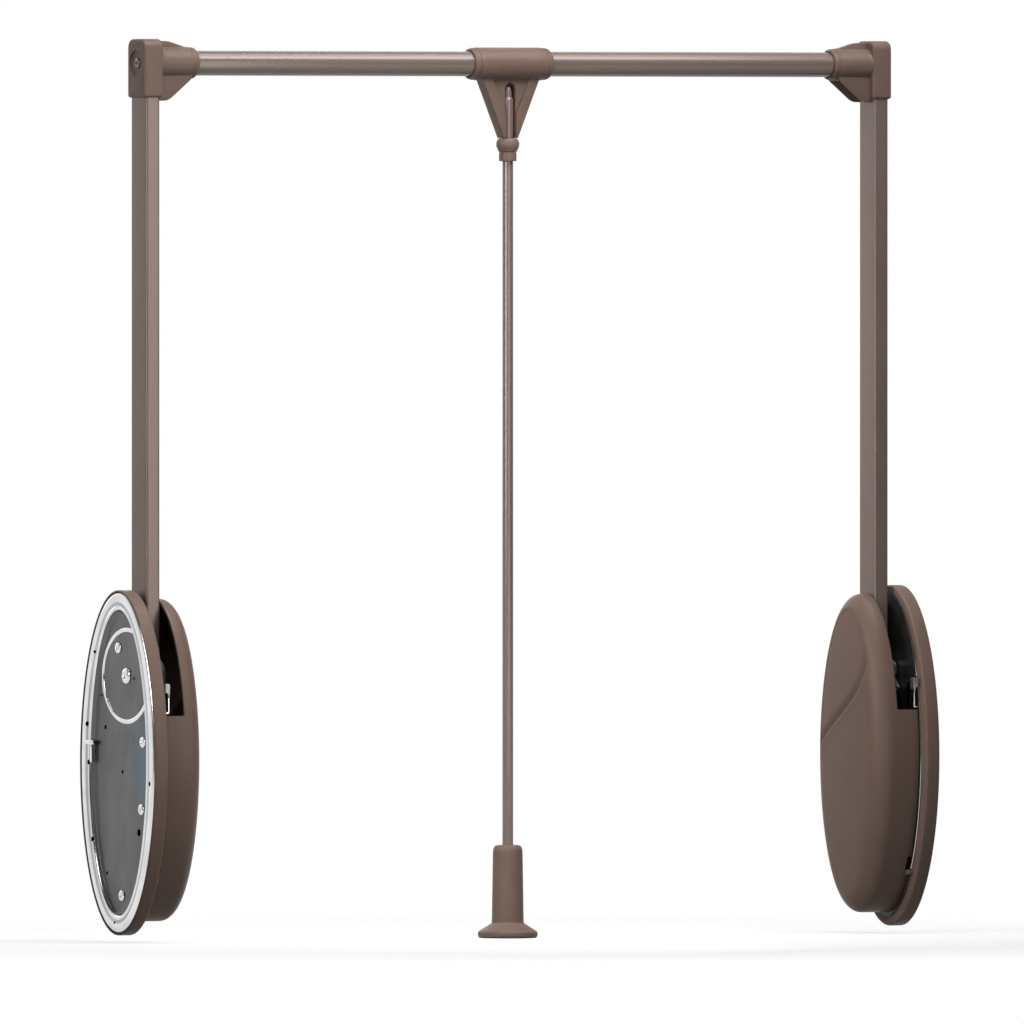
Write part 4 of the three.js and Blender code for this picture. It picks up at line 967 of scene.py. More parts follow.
@dataclass
class Fastener(SubAssembly):
    """A domed stand-off head with a dimple, its shank, collar and tail, turned about X."""

    name: str
    centre: Point2
    head_radius: float
    head_tall: float
    radius: float
    collar_radius: float
    tail_from: float
    tail_tall: float
    dimple: float
    foot: float = 4.95
    collar_from: float = 6.7
    collar_to: float = 13.7
    edge: float = 0.4

    def build(self) -> Piece:
        """Turns the fastener.

        Returns:
            The finished fastener.
        """
        head, tall, hollow, edge, collar = self.head_radius, self.head_tall, self.dimple, self.edge, self.collar_radius
        dome = [
            (head * math.sin(t), self.foot - 0.5 - (tall - 0.5) * math.cos(t))
            for t in (QUARTER * step / 12 for step in range(13))
        ]
        end = self.tail_from + self.tail_tall
        work = Workpiece().turn([
            (0, self.foot - tall * 0.35), (hollow * 0.75, self.foot - tall * 0.4), (hollow, dome[4][1] + 0.3),
            *((r, t) for r, t in dome if r > hollow + 0.3),
            (head, self.foot), (self.radius, self.foot), (self.radius, self.collar_from),
            (collar - edge, self.collar_from), (collar, self.collar_from + edge), (collar, self.collar_to - edge),
            (collar - edge, self.collar_to), (self.radius, self.collar_to), (self.radius, self.tail_from),
            (head - 0.3, self.tail_from), (head, self.tail_from + self.tail_tall * 0.3),
            (head * 0.86, end - self.tail_tall * 0.2), (head * 0.5, end), (0, end),
        ], Axis.X, self.centre, SMALL_SEGMENTS)
        return self.shape(work, self.name)


@dataclass
class Housing(SubAssembly):
    """One wall housing: tray, pressed plate, chassis, cover, rivets, pivot and stop hook."""

    rivets: dict[str, Point2] = field(default_factory=lambda: {
        "top": (0.08, 0.665), "mid": (-0.57, 0.122), "front": (-0.53, -0.268), "low": (-0.014, -0.77),
    })
    tail_gap: float = 0.3
    chassis_outer: float = 16.3
    chassis_inset: float = 8.6
    chassis_rise: float = 1.6
    chassis_edge: float = 0.25
    tab_y: float = 22.3
    # Heights between which the chassis sheet's edge shows bright steel; outside them its near-black steel is painted
    # shade.
    lit_rim: Point2 = (66.0, 276.0)
    hook_gap: float = 0.3
    hook_steel: float = 1.6
    hook_height: float = 30.0
    hook_foot: float = 228.0

    def build(self) -> None:
        """Builds and dresses every piece of the housing."""
        body, cover, plate = self.named("housing"), Cover(self.side), WallPlate(self.side)
        self.settle(Shell(self.side).build(), SHELL_PLASTIC, body, "shell")
        self.settle(cover.build(), COVER_PLASTIC, body, "cover")
        self.settle(cover.snap(), COVER_PLASTIC, body)
        self.paint_dish(self.settle(plate.build(), BRIGHT_STEEL, body, "wall_plate"), plate)
        self.settle(plate.pivot_ring(), BRIGHT_STEEL, body)
        self.settle(plate.clip_tab(), BRIGHT_STEEL, body)
        # The chassis sheet wears near-black steel as painted shade; only its edge between the two heights below is
        # repainted bright steel.
        sheet = self.settle(self.chassis(), SHADED_STEEL, body, "chassis_plate")
        low, high = self.lit_rim
        repaint(sheet, BRIGHT_STEEL, lambda at, normal: (
            abs(normal.x) < 0.9 and abs(at.y - self.tab_y) > 1.5 and low < at.z < high))
        self.settle(self.stop_hook(), HOOK_STEEL, body, "stop_hook")
        self.settle(self.hook_blade(), RIVET_STEEL, body)
        for place, shares in self.rivets.items():
            rivet = Fastener(self.side, f"rivet_{place}_turned", LAYOUT.on_oval(*shares), 5.5, 2.1, 3.0, 6.0,
                             LAYOUT.chassis_inner + self.tail_gap, 0.9, dimple=1.6)
            self.settle(rivet.build(), RIVET_STEEL, body, f"rivet_{place}")
        axle = Fastener(self.side, "pivot_axle_turned", LAYOUT.pivot, 8.0, 3.0, 5.0, 9.0,
                        LAYOUT.arm_inner + self.tail_gap, 2.8, dimple=3.2)
        self.settle(axle.build(), RIVET_STEEL, body, "pivot_axle")

    def paint_dish(self, pressing: Piece, plate: WallPlate) -> None:
        """Gives the dish's floor and wall their darker steel, partly painted shade and dark reflection, and paints
        shade into the flange's groove as a grey band.

        Args:
            pressing: The finished pressing.
            plate: The plate's sizes.
        """
        low, high = plate.groove
        # The groove's grey band is painted shade; the dish's darker floor and wall are partly painted shade and dark
        # reflection.
        for finish, start, end in ((SHADED_DISH_STEEL, plate.bead_end, math.inf), (GROOVE_SHADE_STEEL, low, high)):
            repaint(pressing, finish, lambda at, _: start < LAYOUT.inset_of(at.y, at.z) - plate.edge < end)

    def chassis(self) -> Piece:
        """Builds the plate between tray and cover with the rack's guide tab.

        Returns:
            The finished plate.
        """
        low, high, inset, edge = self.chassis_outer, LAYOUT.chassis_inner, self.chassis_inset, self.chassis_edge
        work = Workpiece()
        rings = work.loft([(low, inset + edge), (low + edge, inset), (high - edge, inset), (high, inset + edge)],
                          rise=self.chassis_rise)
        plate = self.shape(work.fill(rings[0]).fill(rings[-1]), "chassis_sheet")
        y, z = self.tab_y, LAYOUT.pivot[1]
        tab = Workpiece().block((low + 0.5, y - 1, z - 15), (22.9, y + 1, z + 15)).soften(0.4, 2)
        return self.combine(plate, tab, Operation.ADD)

    def hook_edge(self) -> float:
        """The y of the hook's front edge, on the chassis plate's outline."""
        share = (self.hook_foot + self.hook_height - LAYOUT.housing_height) / (LAYOUT.half_tall - self.chassis_inset)
        return -(LAYOUT.half_deep - self.chassis_inset) * math.sqrt(1 - share**2)

    def stop_hook(self) -> Piece:
        """Bends the hooked head at the foot of the arm slot.

        Returns:
            The finished hook.
        """
        root, edge, top = LAYOUT.chassis_inner + self.hook_gap, self.hook_edge(), self.hook_foot + self.hook_height
        outline = filleted([
            (root + 0.6, top - 9, 1.0), (root + 0.6, top, 1.4), (root + 6.3, top, 1.8), (root + 6.3, top - 8, 1.5),
            (root + 5.7, top - 14, 1.2), (root + 4.4, top - 14.5, 0.5), (root + 3.6, top - 9.5, 1.0),
        ])
        work = Workpiece().prism(outline, Axis.Y, edge - 5.2, edge + 1.5).soften(0.6, 3, 60)
        return self.shape(work, "stop_hook_head")

    def hook_blade(self) -> Piece:
        """Bends the upright blade that carries the hook's head.

        Returns:
            The finished blade.
        """
        root, edge, foot = LAYOUT.chassis_inner + self.hook_gap, self.hook_edge(), self.hook_foot
        top, steel, out = foot + self.hook_height - 4, self.hook_steel, root + 5.9
        outline = filleted([
            (root, foot, 0), (out, foot, 2.2), (out, top, 0.3), (out - steel, top, 0.3),
            (out - steel, foot + steel, 1.2), (root, foot + steel, 0),
        ])
        work = Workpiece().prism(outline, Axis.Y, edge - 4.6, edge + 10).soften(0.3, 2, 60)
        return self.shape(work, "stop_hook_blade")


@dataclass
class Arm(SubAssembly):
    """One swinging arm: cast foot, painted tube, corner bracket and its screw."""

    corner: float = 2.6
    wall: float = 1.6
    foot_top: float = 295.5
    tube_top: float = 890.0
    tube_hollow: float = 40.0
    bracket_outer: float = 22.0
    bracket_inner: float = 44.0
    bracket_half: float = 17.0
    bracket_foot: float = 839.5
    bracket_top: float = 898.0
    socket_end: float = 88.0
    socket_radius: float = 16.5
    web_half: float = 3.2
    web_top: float = 22.0
    gusset_y: float = 9.9
    gusset_half: float = 1.1
    recess_radius: float = 12.5
    recess_sink: float = 1.9
    cross: tuple[Point2, ...] = ((2.7, 0.65), (0.65, 2.7))
    cross_deep: float = 0.95
    dark_reach: float = 3.2
    dark_depths: Point2 = (0.42, 1.2)

    def build(self) -> None:
        """Builds and dresses every piece of the arm."""
        pieces = (
            (self.tube, ARM_PAINT, "arm_tube"), (self.bracket, BRACKET_PLASTIC, "corner_bracket"),
            (self.screw, SCREW_STEEL, "bracket_screw"), (self.foot, CAST_METAL, "arm_foot"),
            (self.bush, BUSH_BRONZE, "arm_bush"), (self.bumper, BLACK_RUBBER, "rest_bumper"),
        )
        body = f"lift_{self.side.value}"
        made = {node: self.settle(make(), finish, body, node) for make, finish, node in pieces}
        self.darken_cross(made["bracket_screw"])

    def tube(self) -> Piece:
        """Draws the flat sided tube, hollow at both ends.

        Returns:
            The finished tube.
        """
        x0, x1, half, cut = LAYOUT.arm_outer, LAYOUT.arm_inner, LAYOUT.arm_deep / 2, self.corner
        outline = filleted([(x0, -half, cut), (x1, -half, cut), (x1, half, cut), (x0, half, cut)], steps=8)
        work = Workpiece().prism(outline, Axis.Z, self.foot_top + 0.3, self.tube_top)
        ends = [f for f in work.mesh.faces if len(f.verts) > 8]
        bmesh.ops.inset_region(work.mesh, faces=ends, thickness=self.wall, use_even_offset=True)
        for face in [f for f in work.mesh.faces if len(f.verts) > 8]:
            way = -1 if face.calc_center_median().z > (self.foot_top + self.tube_top) / 2 else 1
            made = bmesh.ops.extrude_face_region(work.mesh, geom=[face])
            verts = [item for item in made["geom"] if isinstance(item, bmesh.types.BMVert)]
            bmesh.ops.translate(work.mesh, verts=verts, vec=(0, 0, way * self.tube_hollow))
            bmesh.ops.delete(work.mesh, geom=[face], context="FACES_ONLY")
        return self.shape(work, "arm_tube_drawn")

    def bracket(self) -> Piece:
        """Builds the corner bracket: block, socket, top web and two gusset walls.

        Returns:
            The finished bracket.
        """
        half, foot, top = self.bracket_half, self.bracket_foot, self.bracket_top
        low, high, root = self.bracket_outer, self.bracket_inner, self.bracket_inner - 1.5
        bar, r, end = LAYOUT.bar_height, self.socket_radius, self.socket_end
        outline = filleted([(half, foot, 3.5), (half, top, 10), (-half, top, 10), (-half, foot, 3.5)], steps=8)
        block = Workpiece().prism(outline, Axis.X, low, high).soften(2.6, 5, 60)
        added = [
            Workpiece().turn(filleted([
                (0, root, 0), (r + 0.4, root, 0), (r + 0.4, high + 0.4, 0.6), (r, high + 2.2, 0.8),
                (r - 0.2, end - 7.6, 0.5), (r - 0.9, end - 6.9, 0.5), (r - 0.9, end - 6.0, 0.3),
                (r - 0.5, end - 5.4, 0.5), (r - 0.9, end - 1.6, 1.4), (r - 2.6, end, 1.2), (r - 3.5, end - 0.6, 0.4),
                (r - 3.7, end - 2, 0.4), (r - 3.7, high + 18, 0), (0, high + 18, 0),
            ], closed=False, steps=4), Axis.X, (0, bar)),
            Workpiece().prism(filleted([
                (root, bar + 8, 0), (end - 8, bar + 8, 0), (end - 8, bar + r - 1, 0.5), (end - 13, bar + r + 0.2, 3),
                (high + 13, bar + self.web_top, 5), (root, bar + self.web_top, 0),
            ]), Axis.Y, -self.web_half, self.web_half).soften(0.7, 2, 60, lambda spot: spot.x > 0),
        ]
        for y in (-self.gusset_y, self.gusset_y):
            added.append(Workpiece().prism(filleted([
                (root, bar - 6, 0), (root, bar - 37.5, 0), (high + 9, bar - 37.5, 6), (end - 8, bar - r + 0.6, 2),
                (end - 8, bar - 6, 0),
            ]), Axis.Y, y - self.gusset_half, y + self.gusset_half).soften(0.4, 2, 60))
        wide, floor = self.recess_radius, low + self.recess_sink
        recess = Workpiece().turn([
            (0, 10), (wide, 10), (wide, floor - 0.3), (wide - 0.3, floor), (5.2, floor), (5.2, low + 2.4),
            (0, low + 2.4),
        ], Axis.X, (0, bar))
        pocket = Workpiece().block((LAYOUT.arm_outer - 0.3, -15.3, foot - 5), (41.3, 15.3, self.tube_top + 0.3))
        bracket = self.shape(block, "corner_bracket_moulding")
        for tool in added:
            bracket = self.combine(bracket, tool, Operation.ADD, FINE_SHARP)
        for tool in (recess, pocket):
            bracket = self.combine(bracket, tool, Operation.CUT, FINE_SHARP)
        return bracket

    def screw(self) -> Piece:
        """Turns the bracket's screw and cuts its cross.

        Returns:
            The finished screw.
        """
        low, bar, head = self.bracket_outer, LAYOUT.bar_height, self.bracket_outer + 0.1
        profile = [(0, head), (2.4, head + 0.08), (3.8, head + 0.4), (4.6, head + 1.0), (4.8, head + 1.5),
                   (4.8, head + 1.7), (2.4, head + 1.7), (2.4, low + 33.5), (1.6, low + 34), (0, low + 34)]
        screw = self.shape(Workpiece().turn(profile, Axis.X, (0, bar), SMALL_SEGMENTS), "bracket_screw_turned")
        for y, z in self.cross:
            groove = Workpiece().block((head - 2, -y, bar - z), (head + self.cross_deep, y, bar + z))
            screw = self.combine(screw, groove, Operation.CUT, FINE_SHARP)
        return screw

    def darken_cross(self, screw: Piece) -> None:
        """Paints shade into the inside of the screw's cross.

        Args:
            screw: The finished screw.
        """
        low, high = self.dark_depths
        repaint(screw, SHADED_STEEL, lambda at, _: (
            math.hypot(at.y, at.z - LAYOUT.bar_height) < self.dark_reach
            and low < LAYOUT.span / 2 - abs(at.x) - self.bracket_outer < high))

    def foot(self) -> Piece:
        """Casts the arm's foot: eye, neck and tenon.

        Returns:
            The finished foot.
        """
        x0, x1, top, height = LAYOUT.arm_outer, LAYOUT.arm_inner, self.foot_top, LAYOUT.pivot[1]
        profile = [(0, x0), (16.2, x0), (17, x0 + 0.8), (17, x1 - 0.8), (16.2, x1), (0, x1)]
        foot = self.shape(Workpiece().turn(profile, Axis.X, LAYOUT.pivot), "arm_foot_cast")
        neck = Workpiece().block((x0, -15, height), (x1, 15, top)).soften(0.8)
        tenon = Workpiece().block((x0 + 1.9, -11.5, top - 3), (x1 - 1.9, 11.5, top + 30)).soften(0.8, 2)
        bore = Workpiece().drill(7.3, x0 - 3, x1 + 3, LAYOUT.pivot)
        for tool, operation in ((neck, Operation.ADD), (tenon, Operation.ADD), (bore, Operation.CUT)):
            foot = self.combine(foot, tool, operation)
        return foot

    def bush(self) -> Piece:
        """Turns the bronze bush in the foot's eye.

        Returns:
            The finished bush.
        """
        x0, x1 = LAYOUT.arm_outer, LAYOUT.arm_inner
        profile = [(5.15, x0 + 0.3), (5.45, x0), (6.85, x0), (7.15, x0 + 0.3), (7.15, x1 - 0.3), (6.85, x1),
                   (5.45, x1), (5.15, x1 - 0.3)]
        work = Workpiece().turn(profile, Axis.X, LAYOUT.pivot, SMALL_SEGMENTS, closed=True)
        return self.shape(work, "arm_bush_turned")

    def bumper(self) -> Piece:
        """Moulds the rubber pad on the arm's back.

        Returns:
            The finished pad.
        """
        low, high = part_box(f"{self.side.value}_rest_bumper")
        x0, x1 = LAYOUT.arm_outer + 1, LAYOUT.arm_inner - 1
        work = Workpiece().block((x0, low[1] / MM, low[2] / MM), (x1, high[1] / MM, high[2] / MM)).soften(1.2, 4)
        return self.shape(work, "rest_bumper_pad")


@dataclass
class LiftSpring(SubAssembly):
    """The compression spring wound round the pull rod."""

    foot: float = 53.7
    top: float = 159.7
    coil: float = 7.0
    wire: float = 1.2
    wire_segments: int = 14
    turns: int = 8
    steps: int = 36
    sharp: float = 60.0
    closed_share: float = 0.565

    def build(self) -> None:
        """Winds and dresses the spring."""
        work = Workpiece()
        start = Vector((LAYOUT.rod_x + self.coil, LAYOUT.rod_y, self.foot + self.wire))
        turn = Matrix.Translation(start) @ Matrix.Rotation(QUARTER, 4, "X")
        made = bmesh.ops.create_circle(
            work.mesh, cap_ends=True, segments=self.wire_segments, radius=self.wire, matrix=turn)
        rings = self.turns * self.steps
        rise = (self.top - self.foot - 2 * self.wire) / rings
        faces = list({f for v in made["verts"] for f in v.link_faces})
        edges = list({e for v in made["verts"] for e in v.link_edges})
        bmesh.ops.spin(
            work.mesh, geom=faces + edges + made["verts"], cent=(LAYOUT.rod_x, LAYOUT.rod_y, 0), axis=(0, 0, 1),
            dvec=(0, 0, rise), angle=FULL_TURN * self.turns, steps=rings, use_merge=False, use_duplicate=False)
        piece = self.settle(self.shape(work, "lift_spring_wound", self.sharp), SPRING_STEEL, self.named("housing"),
                            "lift_spring")
        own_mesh(piece)


@dataclass
class Mechanism(SubAssembly):
    """What turns the arm's swing into a pull on the spring: turned rods, the damper and the carried over plates."""

    damper_y: float = -16.0
    rod: tuple[Point2, ...] = (
        (0, 41.9), (2.4, 41.9), (3, 42.5), (3, 176.3), (5, 176.3), (5, 178.6), (4.2, 179.8), (0, 179.8))
    piston: tuple[Point2, ...] = (
        (0, 85), (4.35, 85), (4.35, 88.5), (3, 88.5), (3, 167.2), (5, 167.2), (5, 170.7), (3, 170.7), (3, 179.4),
        (2.4, 180), (0, 180))
    barrel: tuple[Point2, ...] = (
        (0, 53), (8.4, 53), (9, 53.6), (9, 150), (8, 151), (3.15, 151), (3.15, 146.5), (4.5, 146.5), (4.5, 73),
        (0, 73))
    pin_radius: float = 3.15
    pin_height: float = 47.0

    def build(self) -> None:
        """Builds the turned pieces and dresses the carried over ones."""
        LiftSpring(self.side).build()
        rack = f"rack_{self.side.value}"
        self.settle(self.turned("pull_rod_turned", self.rod, LAYOUT.rod_y), ZINC_STEEL, rack, "pull_rod")
        self.settle(self.turned("damper_rod_turned", self.piston, self.damper_y), RIVET_STEEL, rack, "damper_rod")
        self.settle(self.damper(), CAST_METAL, self.named("housing"), "damper_body")
        for node in ("rack", "sector_gear", "spring_seat", "spring_nut"):
            self.dress(node, ZINC_STEEL)
        self.dress("damper_pin", RIVET_STEEL)

    def dress(self, name: str, finish: Finish) -> None:
        """Gives a carried over node its finish through its material slots.

        Args:
            name: The node's name without the side.
            finish: The finish to wear.
        """
        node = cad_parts[self.named(name)]
        for slot in node.material_slots:
            slot.material = finish.material()
        log.info("%s: carried over in %s", node.name, finish.name)

    def turned(self, name: str, profile: Sequence[Point2], y: float) -> Piece:
        """Turns a rod about its upright axis at this y."""
        return self.shape(Workpiece().turn(profile, Axis.Z, (LAYOUT.rod_x, y), SMALL_SEGMENTS), name)

    def damper(self) -> Piece:
        """Builds the damper's barrel and its lower lug.

        Returns:
            The finished damper.
        """
        x, y = LAYOUT.rod_x, self.damper_y
        lug = Workpiece().prism(
            filleted([(y - 6, 41, 4), (y + 6, 41, 4), (y + 6, 57, 0), (y - 6, 57, 0)]), Axis.X, x - 4.5, x + 4.5)
        damper = self.combine(self.turned("damper_barrel", self.barrel, y), lug, Operation.ADD)
        eye = Workpiece().drill(self.pin_radius, x - 9, x + 9, (y, self.pin_height), SMALL_SEGMENTS)
        return self.combine(damper, eye, Operation.CUT)


@dataclass
class Bar(SubAssembly):
    """The clothes bar: two painted tubes that meet in the handle's sleeve, and the steel tube inside them."""

    side: Side = Side.MIDDLE
    radius: float = 12.5
    wall: float = 1.2
    edge: float = 0.25
    left_from: float = -415.7
    seam: float = 41.0
    seam_gap: float = 0.3
    right_to: float = 415.7
    inner_radius: float = 11.0
    inner_from: float = -84.0
    inner_to: float = 341.0

    def build(self) -> None:
        """Builds and dresses the bar's tubes."""
        tubes = (
            ("left_bar_tube", self.radius, self.left_from, self.seam - self.seam_gap, BAR_PAINT, "lift_left"),
            ("right_bar_tube", self.radius, self.seam, self.right_to, BAR_PAINT, "lift_right"),
            ("inner_bar_tube", self.inner_radius, self.inner_from, self.inner_to, ZINC_STEEL, "lift_left"),
        )
        for node, radius, low, high, finish, body in tubes:
            self.settle(self.tube(f"{node}_drawn", radius, low, high), finish, body, node)

    def tube(self, name: str, radius: float, low: float, high: float) -> Piece:
        """Turns one tube about the bar's line.

        Args:
            name: The piece's name.
            radius: Its outer radius.
            low: Its left end.
            high: Its right end.

        Returns:
            The finished tube.
        """
        hollow, soft = radius - self.wall, self.edge
        profile = [(hollow, low + soft), (hollow + soft, low), (radius - soft, low), (radius, low + soft),
                   (radius, high - soft), (radius - soft, high), (hollow + soft, high), (hollow, high - soft)]
        return self.shape(Workpiece().turn(profile, Axis.X, (0, LAYOUT.bar_height), closed=True), name)


@dataclass
class PullHandle(SubAssembly):
    """The sleeve on the bar with its webbed foot, the pole, its collars and the flanged grip.

    The profiles give the radius, the height and the round of each corner.
    """

    side: Side = Side.MIDDLE
    sharp: float = 32.0
    x: float = -5.0
    half_long: float = 46.0
    radius: float = 16.5
    bore: float = 12.8
    web_half: float = 7.0
    web_wide: float = 36.0
    web_foot: float = 800.0
    panel_half: float = 4.8
    panel_wide: float = 26.5
    back_panel: float = 0.6
    slot_floor: float = 5.7
    slot_half: float = 6.3
    slot_top: float = 855.0
    slot_steps: int = 16
    pole: tuple[Corner, ...] = (
        (0, 38.3, 0), (5.4, 38.3, 0.5), (5.4, 838.6, 0.6), (3.9, 840.6, 0.8), (3.7, 849, 1.5), (2.2, 851, 1),
        (0, 851, 0))
    collar: tuple[Corner, ...] = (
        (5.55, 785.82, 0), (7.6, 785.82, 0), (7.6, 786.1, 0), (9.1, 786.1, 0.8), (9.6, 787.4, 0.8),
        (11.5, 791.6, 1.6), (11.6, 795.4, 1.8), (10.2, 798.6, 1.2), (8.9, 799.7, 0.6), (6.6, 799.7, 0),
        (6.6, 799.98, 0), (5.55, 799.98, 0))
    ferrule: tuple[Corner, ...] = ((5.55, 776.8, 0), (8.8, 776.8, 1.0), (8.8, 785.8, 0.5), (5.55, 785.8, 0))
    grip: tuple[Corner, ...] = (
        (0, 0, 0), (28.2, 0, 1.0), (30, 1.9, 1.2), (29.9, 6.4, 1.8), (17.4, 14.2, 1.6), (16, 15.6, 0.8),
        (14.8, 93, 8.2), (6.2, 93, 0.3), (6.0, 90, 0.2), (5.55, 90, 0), (5.55, 38, 0), (0, 38, 0))

    def build(self) -> None:
        """Builds and dresses the handle."""
        self.settle(self.sleeve(), BRACKET_PLASTIC, "pull_handle", "pull_sleeve")
        uprights = (
            ("pull_pole", "drawn", self.pole, 6, POLE_PAINT),
            ("ball_collar", "turned", self.collar, 6, GRIP_PLASTIC),
            ("pole_ferrule", "turned", self.ferrule, 6, GRIP_PLASTIC),
            ("pull_grip", "turned", self.grip, 8, GRIP_PLASTIC),
        )
        for node, made, corners, steps, finish in uprights:
            work = Workpiece().turn(filleted(corners, closed=False, steps=steps), Axis.Z, (self.x, 0),
                                    closed=corners[0][0] > 0)
            self.settle(self.shape(work, f"{node}_{made}", self.sharp), finish, "pull_handle", node)

    def web(self) -> Piece:
        """Builds the sleeve's web, with raised borders round the panels on its front and back.

        Returns:
            The web by itself.
        """
        x, foot, wide, inner, bar = self.x, self.web_foot, self.web_wide, self.panel_wide, LAYOUT.bar_height
        top = bar - self.radius / 2
        outline = filleted([
            (x - wide, top, 0), (x - 8.6, foot + 1.5, 3), (x - 8.2, foot, 0.4), (x + 8.2, foot, 0.4),
            (x + 8.6, foot + 1.5, 3), (x + wide, top, 0)])
        web = self.shape(Workpiece().prism(outline, Axis.Y, -self.web_half, self.web_half).soften(1.4, 3, 60), "web")
        hollow = filleted([
            (x - inner, bar - 4, 0), (x - 2.6, foot + 17, 6), (x + 2.6, foot + 17, 6), (x + inner, bar - 4, 0)])
        beyond = self.web_half + 6
        for low, high in ((-beyond, -self.panel_half), (self.web_half - self.back_panel, beyond)):
            web = self.combine(web, Workpiece().prism(hollow, Axis.Y, low, high), Operation.CUT, FINE_SHARP)
        return web

    def sleeve(self) -> Piece:
        """Builds the sleeve and its web, and the slot over the pole's head.

        Returns:
            The finished sleeve.
        """
        x, half, r, bar, wide = self.x, self.half_long, self.radius, LAYOUT.bar_height, self.slot_half
        end = [(0, half - 1), (12.9, half - 1), (13.3, half), (14.4, half - 0.2), (15.5, half - 1.6),
               (16.0, half - 3.6), (16.05, half - 5.4), (15.5, half - 6.0), (15.5, half - 6.5), (16.2, half - 7.1),
               (r, half - 8.6), (r, half - 12)]
        profile = [(radius, x + t) for radius, t in end] + [(radius, x - t) for radius, t in reversed(end)]
        sleeve = self.shape(Workpiece().turn(profile, Axis.X, (0, bar)), "pull_sleeve_moulding")
        sleeve = self.combine(sleeve, self.web(), Operation.ADD, FINE_SHARP)
        base, below = self.slot_top - wide, self.web_foot - 5
        angles = (math.pi * step / self.slot_steps for step in range(self.slot_steps + 1))
        arch = [(x + wide * math.cos(t), base + wide * math.sin(t)) for t in angles]
        slot = Workpiece().prism([*arch, (x - wide, below), (x + wide, below)], Axis.Y, -20, self.slot_floor)
        bore = Workpiece().drill(self.bore, x - 60, x + 60, (0, bar))
        for tool in (slot, bore):
            sleeve = self.combine(sleeve, tool, Operation.CUT, FINE_SHARP)
        return sleeve


def aimed(made: Piece, place: Vector, way: Vector) -> None:
    """Puts a lamp or camera at a place, turns it to look along a way and links it to the scene.

    Args:
        made: The lamp's or camera's object.
        place: Where it stands.
        way: The direction that it looks in.
    """
    made.location = place
    made.rotation_mode = "QUATERNION"
    made.rotation_quaternion = way.to_track_quat("-Z", "Y")
    bpy.context.scene.collection.objects.link(made)


@dataclass(frozen=True)
class SoftLight:
    """A soft rectangular lamp that the camera doesn't see. Places and sizes are in metres."""

    name: str
    place: Point3
    target: Point3
    size: Point2
    power: float
    beam: float = 180.0
    colour: Colour = (1.0, 0.985, 0.97)

    def build(self) -> None:
        """Adds the lamp to the scene."""
        data = bpy.data.lights.new(self.name, "AREA")
        data.shape, data.size, data.size_y = "RECTANGLE", *self.size
        data.energy, data.color, data.spread = self.power, self.colour, math.radians(self.beam)
        made = bpy.data.objects.new(self.name, data)
        made.visible_camera = False
        aimed(made, Vector(self.place), Vector(self.target) - Vector(self.place))


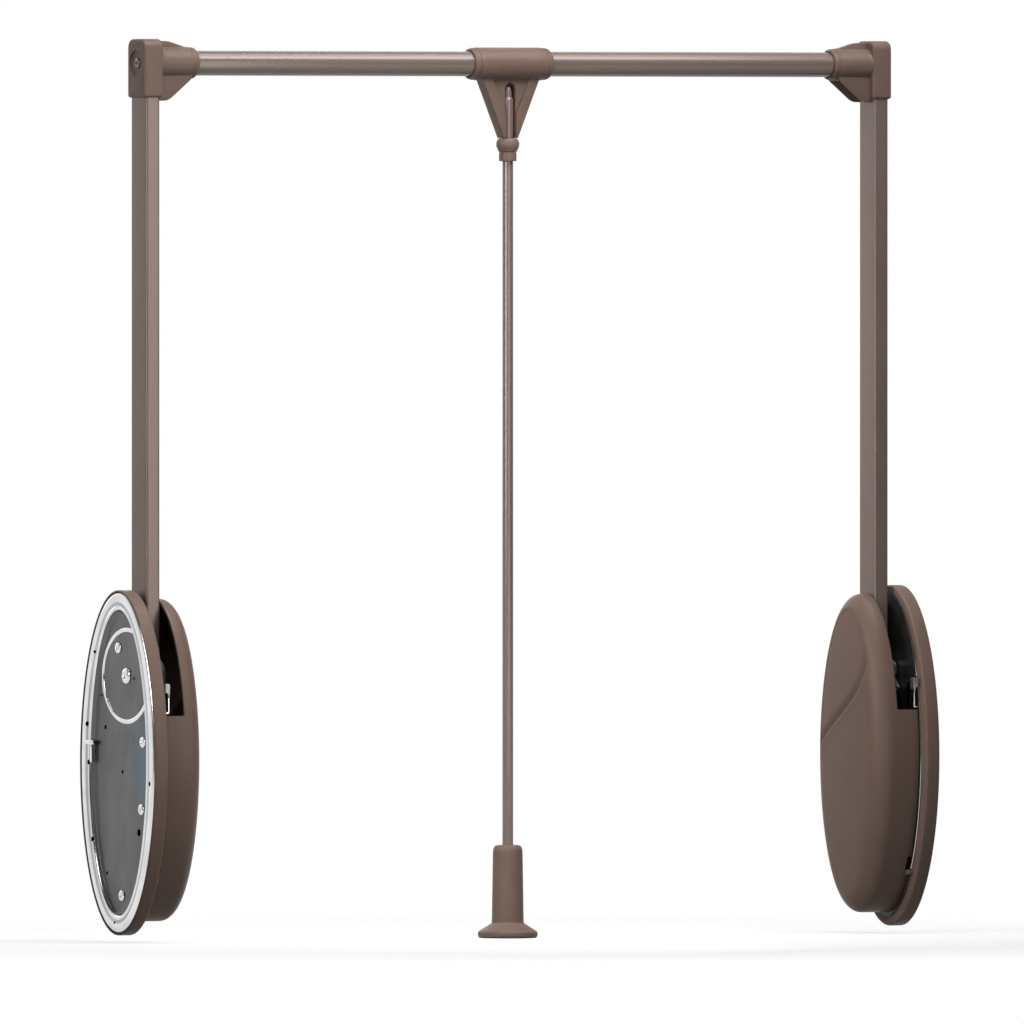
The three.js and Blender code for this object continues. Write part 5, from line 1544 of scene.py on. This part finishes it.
@dataclass
class Studio:
    """The pale floor, the white surroundings, the soft lamps and the camera."""

    azimuth: float = -31.5
    elevation: float = 0.5
    lens: float = 1200.0
    sensor: float = 36.0
    frame_height: float = 1.024
    clip_from: float = 0.5
    clip_beyond: float = 40.0
    aim: Point3 = (0.0, 0.0, 0.426)
    ambient: float = 0.05
    backdrop_from: float = 0.05
    backdrop_to: float = 0.75
    floor_size: float = 9.0
    floor_roughness: float = 0.9
    floor_specular: float = 0.1
    floor_grey: float = 0.22
    floor_bright: float = 0.97
    floor_white: float = 0.76
    floor_glow: float = 1.0
    shadow_reach: float = 1.1
    shadow_share: float = 0.4
    lights: tuple[SoftLight, ...] = (
        SoftLight("front", (-0.07, -0.65, 0.6), (-0.43, 0.0, 0.6), (0.26, 0.95), 2.6),
        SoftLight("side", (-1.0, -0.45, 0.75), (0.45, 0.0, 0.4), (0.6, 0.8), 1.5, 48.0),
        SoftLight("key", (0.1, -0.66, 1.7), (0.0, 0.0, 0.9), (1.5, 0.4), 6.2, 75.0),
        SoftLight("low", (-0.6, -0.5, 0.8), (0.0, 0.0, 0.03), (0.3, 0.3), 0.28, 28.0),
        SoftLight("top", (0.0, -0.35, 2.5), (0.0, 0.0, 0.3), (2.6, 1.0), 30.0),
        SoftLight("back", (0.0, 1.7, 1.2), (0.0, 0.0, 0.4), (2.4, 1.6), 7.5),
    )

    def build(self) -> None:
        """Sets up the whole studio."""
        self.floor()
        self.surroundings()
        for light in self.lights:
            light.build()
        self.camera()
        bpy.context.scene.view_settings.view_transform = "Standard"

    def camera(self) -> None:
        """Puts the camera at the photograph's viewing angle."""
        data = bpy.data.cameras.new("camera")
        data.lens, data.sensor_width = self.lens, self.sensor
        distance = self.lens / self.sensor * self.frame_height
        a, e = math.radians(self.azimuth), math.radians(self.elevation)
        back = Vector((math.sin(a) * math.cos(e), -math.cos(a) * math.cos(e), math.sin(e)))
        data.clip_start, data.clip_end = self.clip_from, distance + self.clip_beyond
        made = bpy.data.objects.new("camera", data)
        aimed(made, Vector(self.aim) + back * distance, -back)
        bpy.context.scene.camera = made

    def surroundings(self) -> None:
        """Makes a dim even light, and a white backdrop behind the object that metal shows too."""
        world = bpy.data.worlds.new("surroundings")
        bpy.context.scene.world = world
        world.use_nodes = True
        world.node_tree.nodes.clear()
        wiring = Wiring(world.node_tree)
        rays = wiring.add("LightPath").outputs
        way = wiring.add("SeparateXYZ", {"Vector": wiring.add("TexCoord").outputs["Generated"]})
        behind = wiring.add("MapRange", {
            "Value": way.outputs["Y"], "From Min": self.backdrop_from, "From Max": self.backdrop_to,
        }, interpolation_type="SMOOTHSTEP")
        mirrored = wiring.fold("MULTIPLY", rays["Is Glossy Ray"], behind.outputs["Result"])
        seen = wiring.fold("MAXIMUM", rays["Is Camera Ray"], rays["Is Transmission Ray"], mirrored)
        light = wiring.add("Background", {"Color": WHITE, "Strength": self.ambient})
        white = wiring.add("Background", {"Color": WHITE, "Strength": 1.0})
        mix = wiring.add("MixShader", {0: seen, 1: light.outputs[0], 2: white.outputs[0]})
        wiring.add("OutputWorld", {"Surface": mix.outputs[0]})

    def floor(self) -> None:
        """Lays the white floor, which keeps a faint shadow near the object and fades to plain white."""
        work = bmesh.new()
        bmesh.ops.create_grid(work, x_segments=1, y_segments=1, size=self.floor_size / 2)
        data = bpy.data.meshes.new("floor")
        work.to_mesh(data)
        work.free()
        made = bpy.data.objects.new("floor", data)
        bpy.context.scene.collection.objects.link(made)
        material = bpy.data.materials.new("floor_white")
        material.use_nodes = True
        wiring = Wiring(material.node_tree)
        place = wiring.add("Mapping", {
            "Vector": wiring.add("TexCoord").outputs["Object"], "Scale": (1 / self.shadow_reach,) * 3})
        near = wiring.add("TexGradient", {"Vector": place.outputs["Vector"]}, gradient_type="SPHERICAL")
        fade = wiring.add("MapRange", {
            "Value": near.outputs["Fac"], "From Max": self.shadow_share, "To Min": 1.0, "To Max": self.floor_white})
        rays = wiring.add("LightPath").outputs
        seen = wiring.fold("MAXIMUM", rays["Is Camera Ray"], rays["Is Glossy Ray"], rays["Is Transmission Ray"])
        grey = wiring.add("MapRange", {"Value": seen, "To Min": self.floor_grey, "To Max": self.floor_bright})
        shader = material.node_tree.nodes["Principled BSDF"]
        wiring.feed(shader, {"Roughness": self.floor_roughness, "Specular IOR Level": self.floor_specular,
                             "Base Color": grey.outputs["Result"]})
        glow = wiring.add("Emission", {"Strength": self.floor_glow})
        share = wiring.fold("MULTIPLY", seen, fade.outputs["Result"])
        mix = wiring.add("MixShader", {0: share, 1: shader.outputs[0], 2: glow.outputs[0]})
        wiring.feed(material.node_tree.nodes["Material Output"], {"Surface": mix.outputs[0]})
        data.materials.append(material)


def main() -> None:
    """Builds the closet rod's pieces in order."""
    logging.basicConfig(level=logging.INFO, format="%(name)s: %(message)s")
    Studio().build()
    for side in (Side.LEFT, Side.RIGHT):
        Housing(side).build()
        Arm(side).build()
        Mechanism(side).build()
    Bar().build()
    PullHandle().build()


if __name__ == "__main__":
    main()
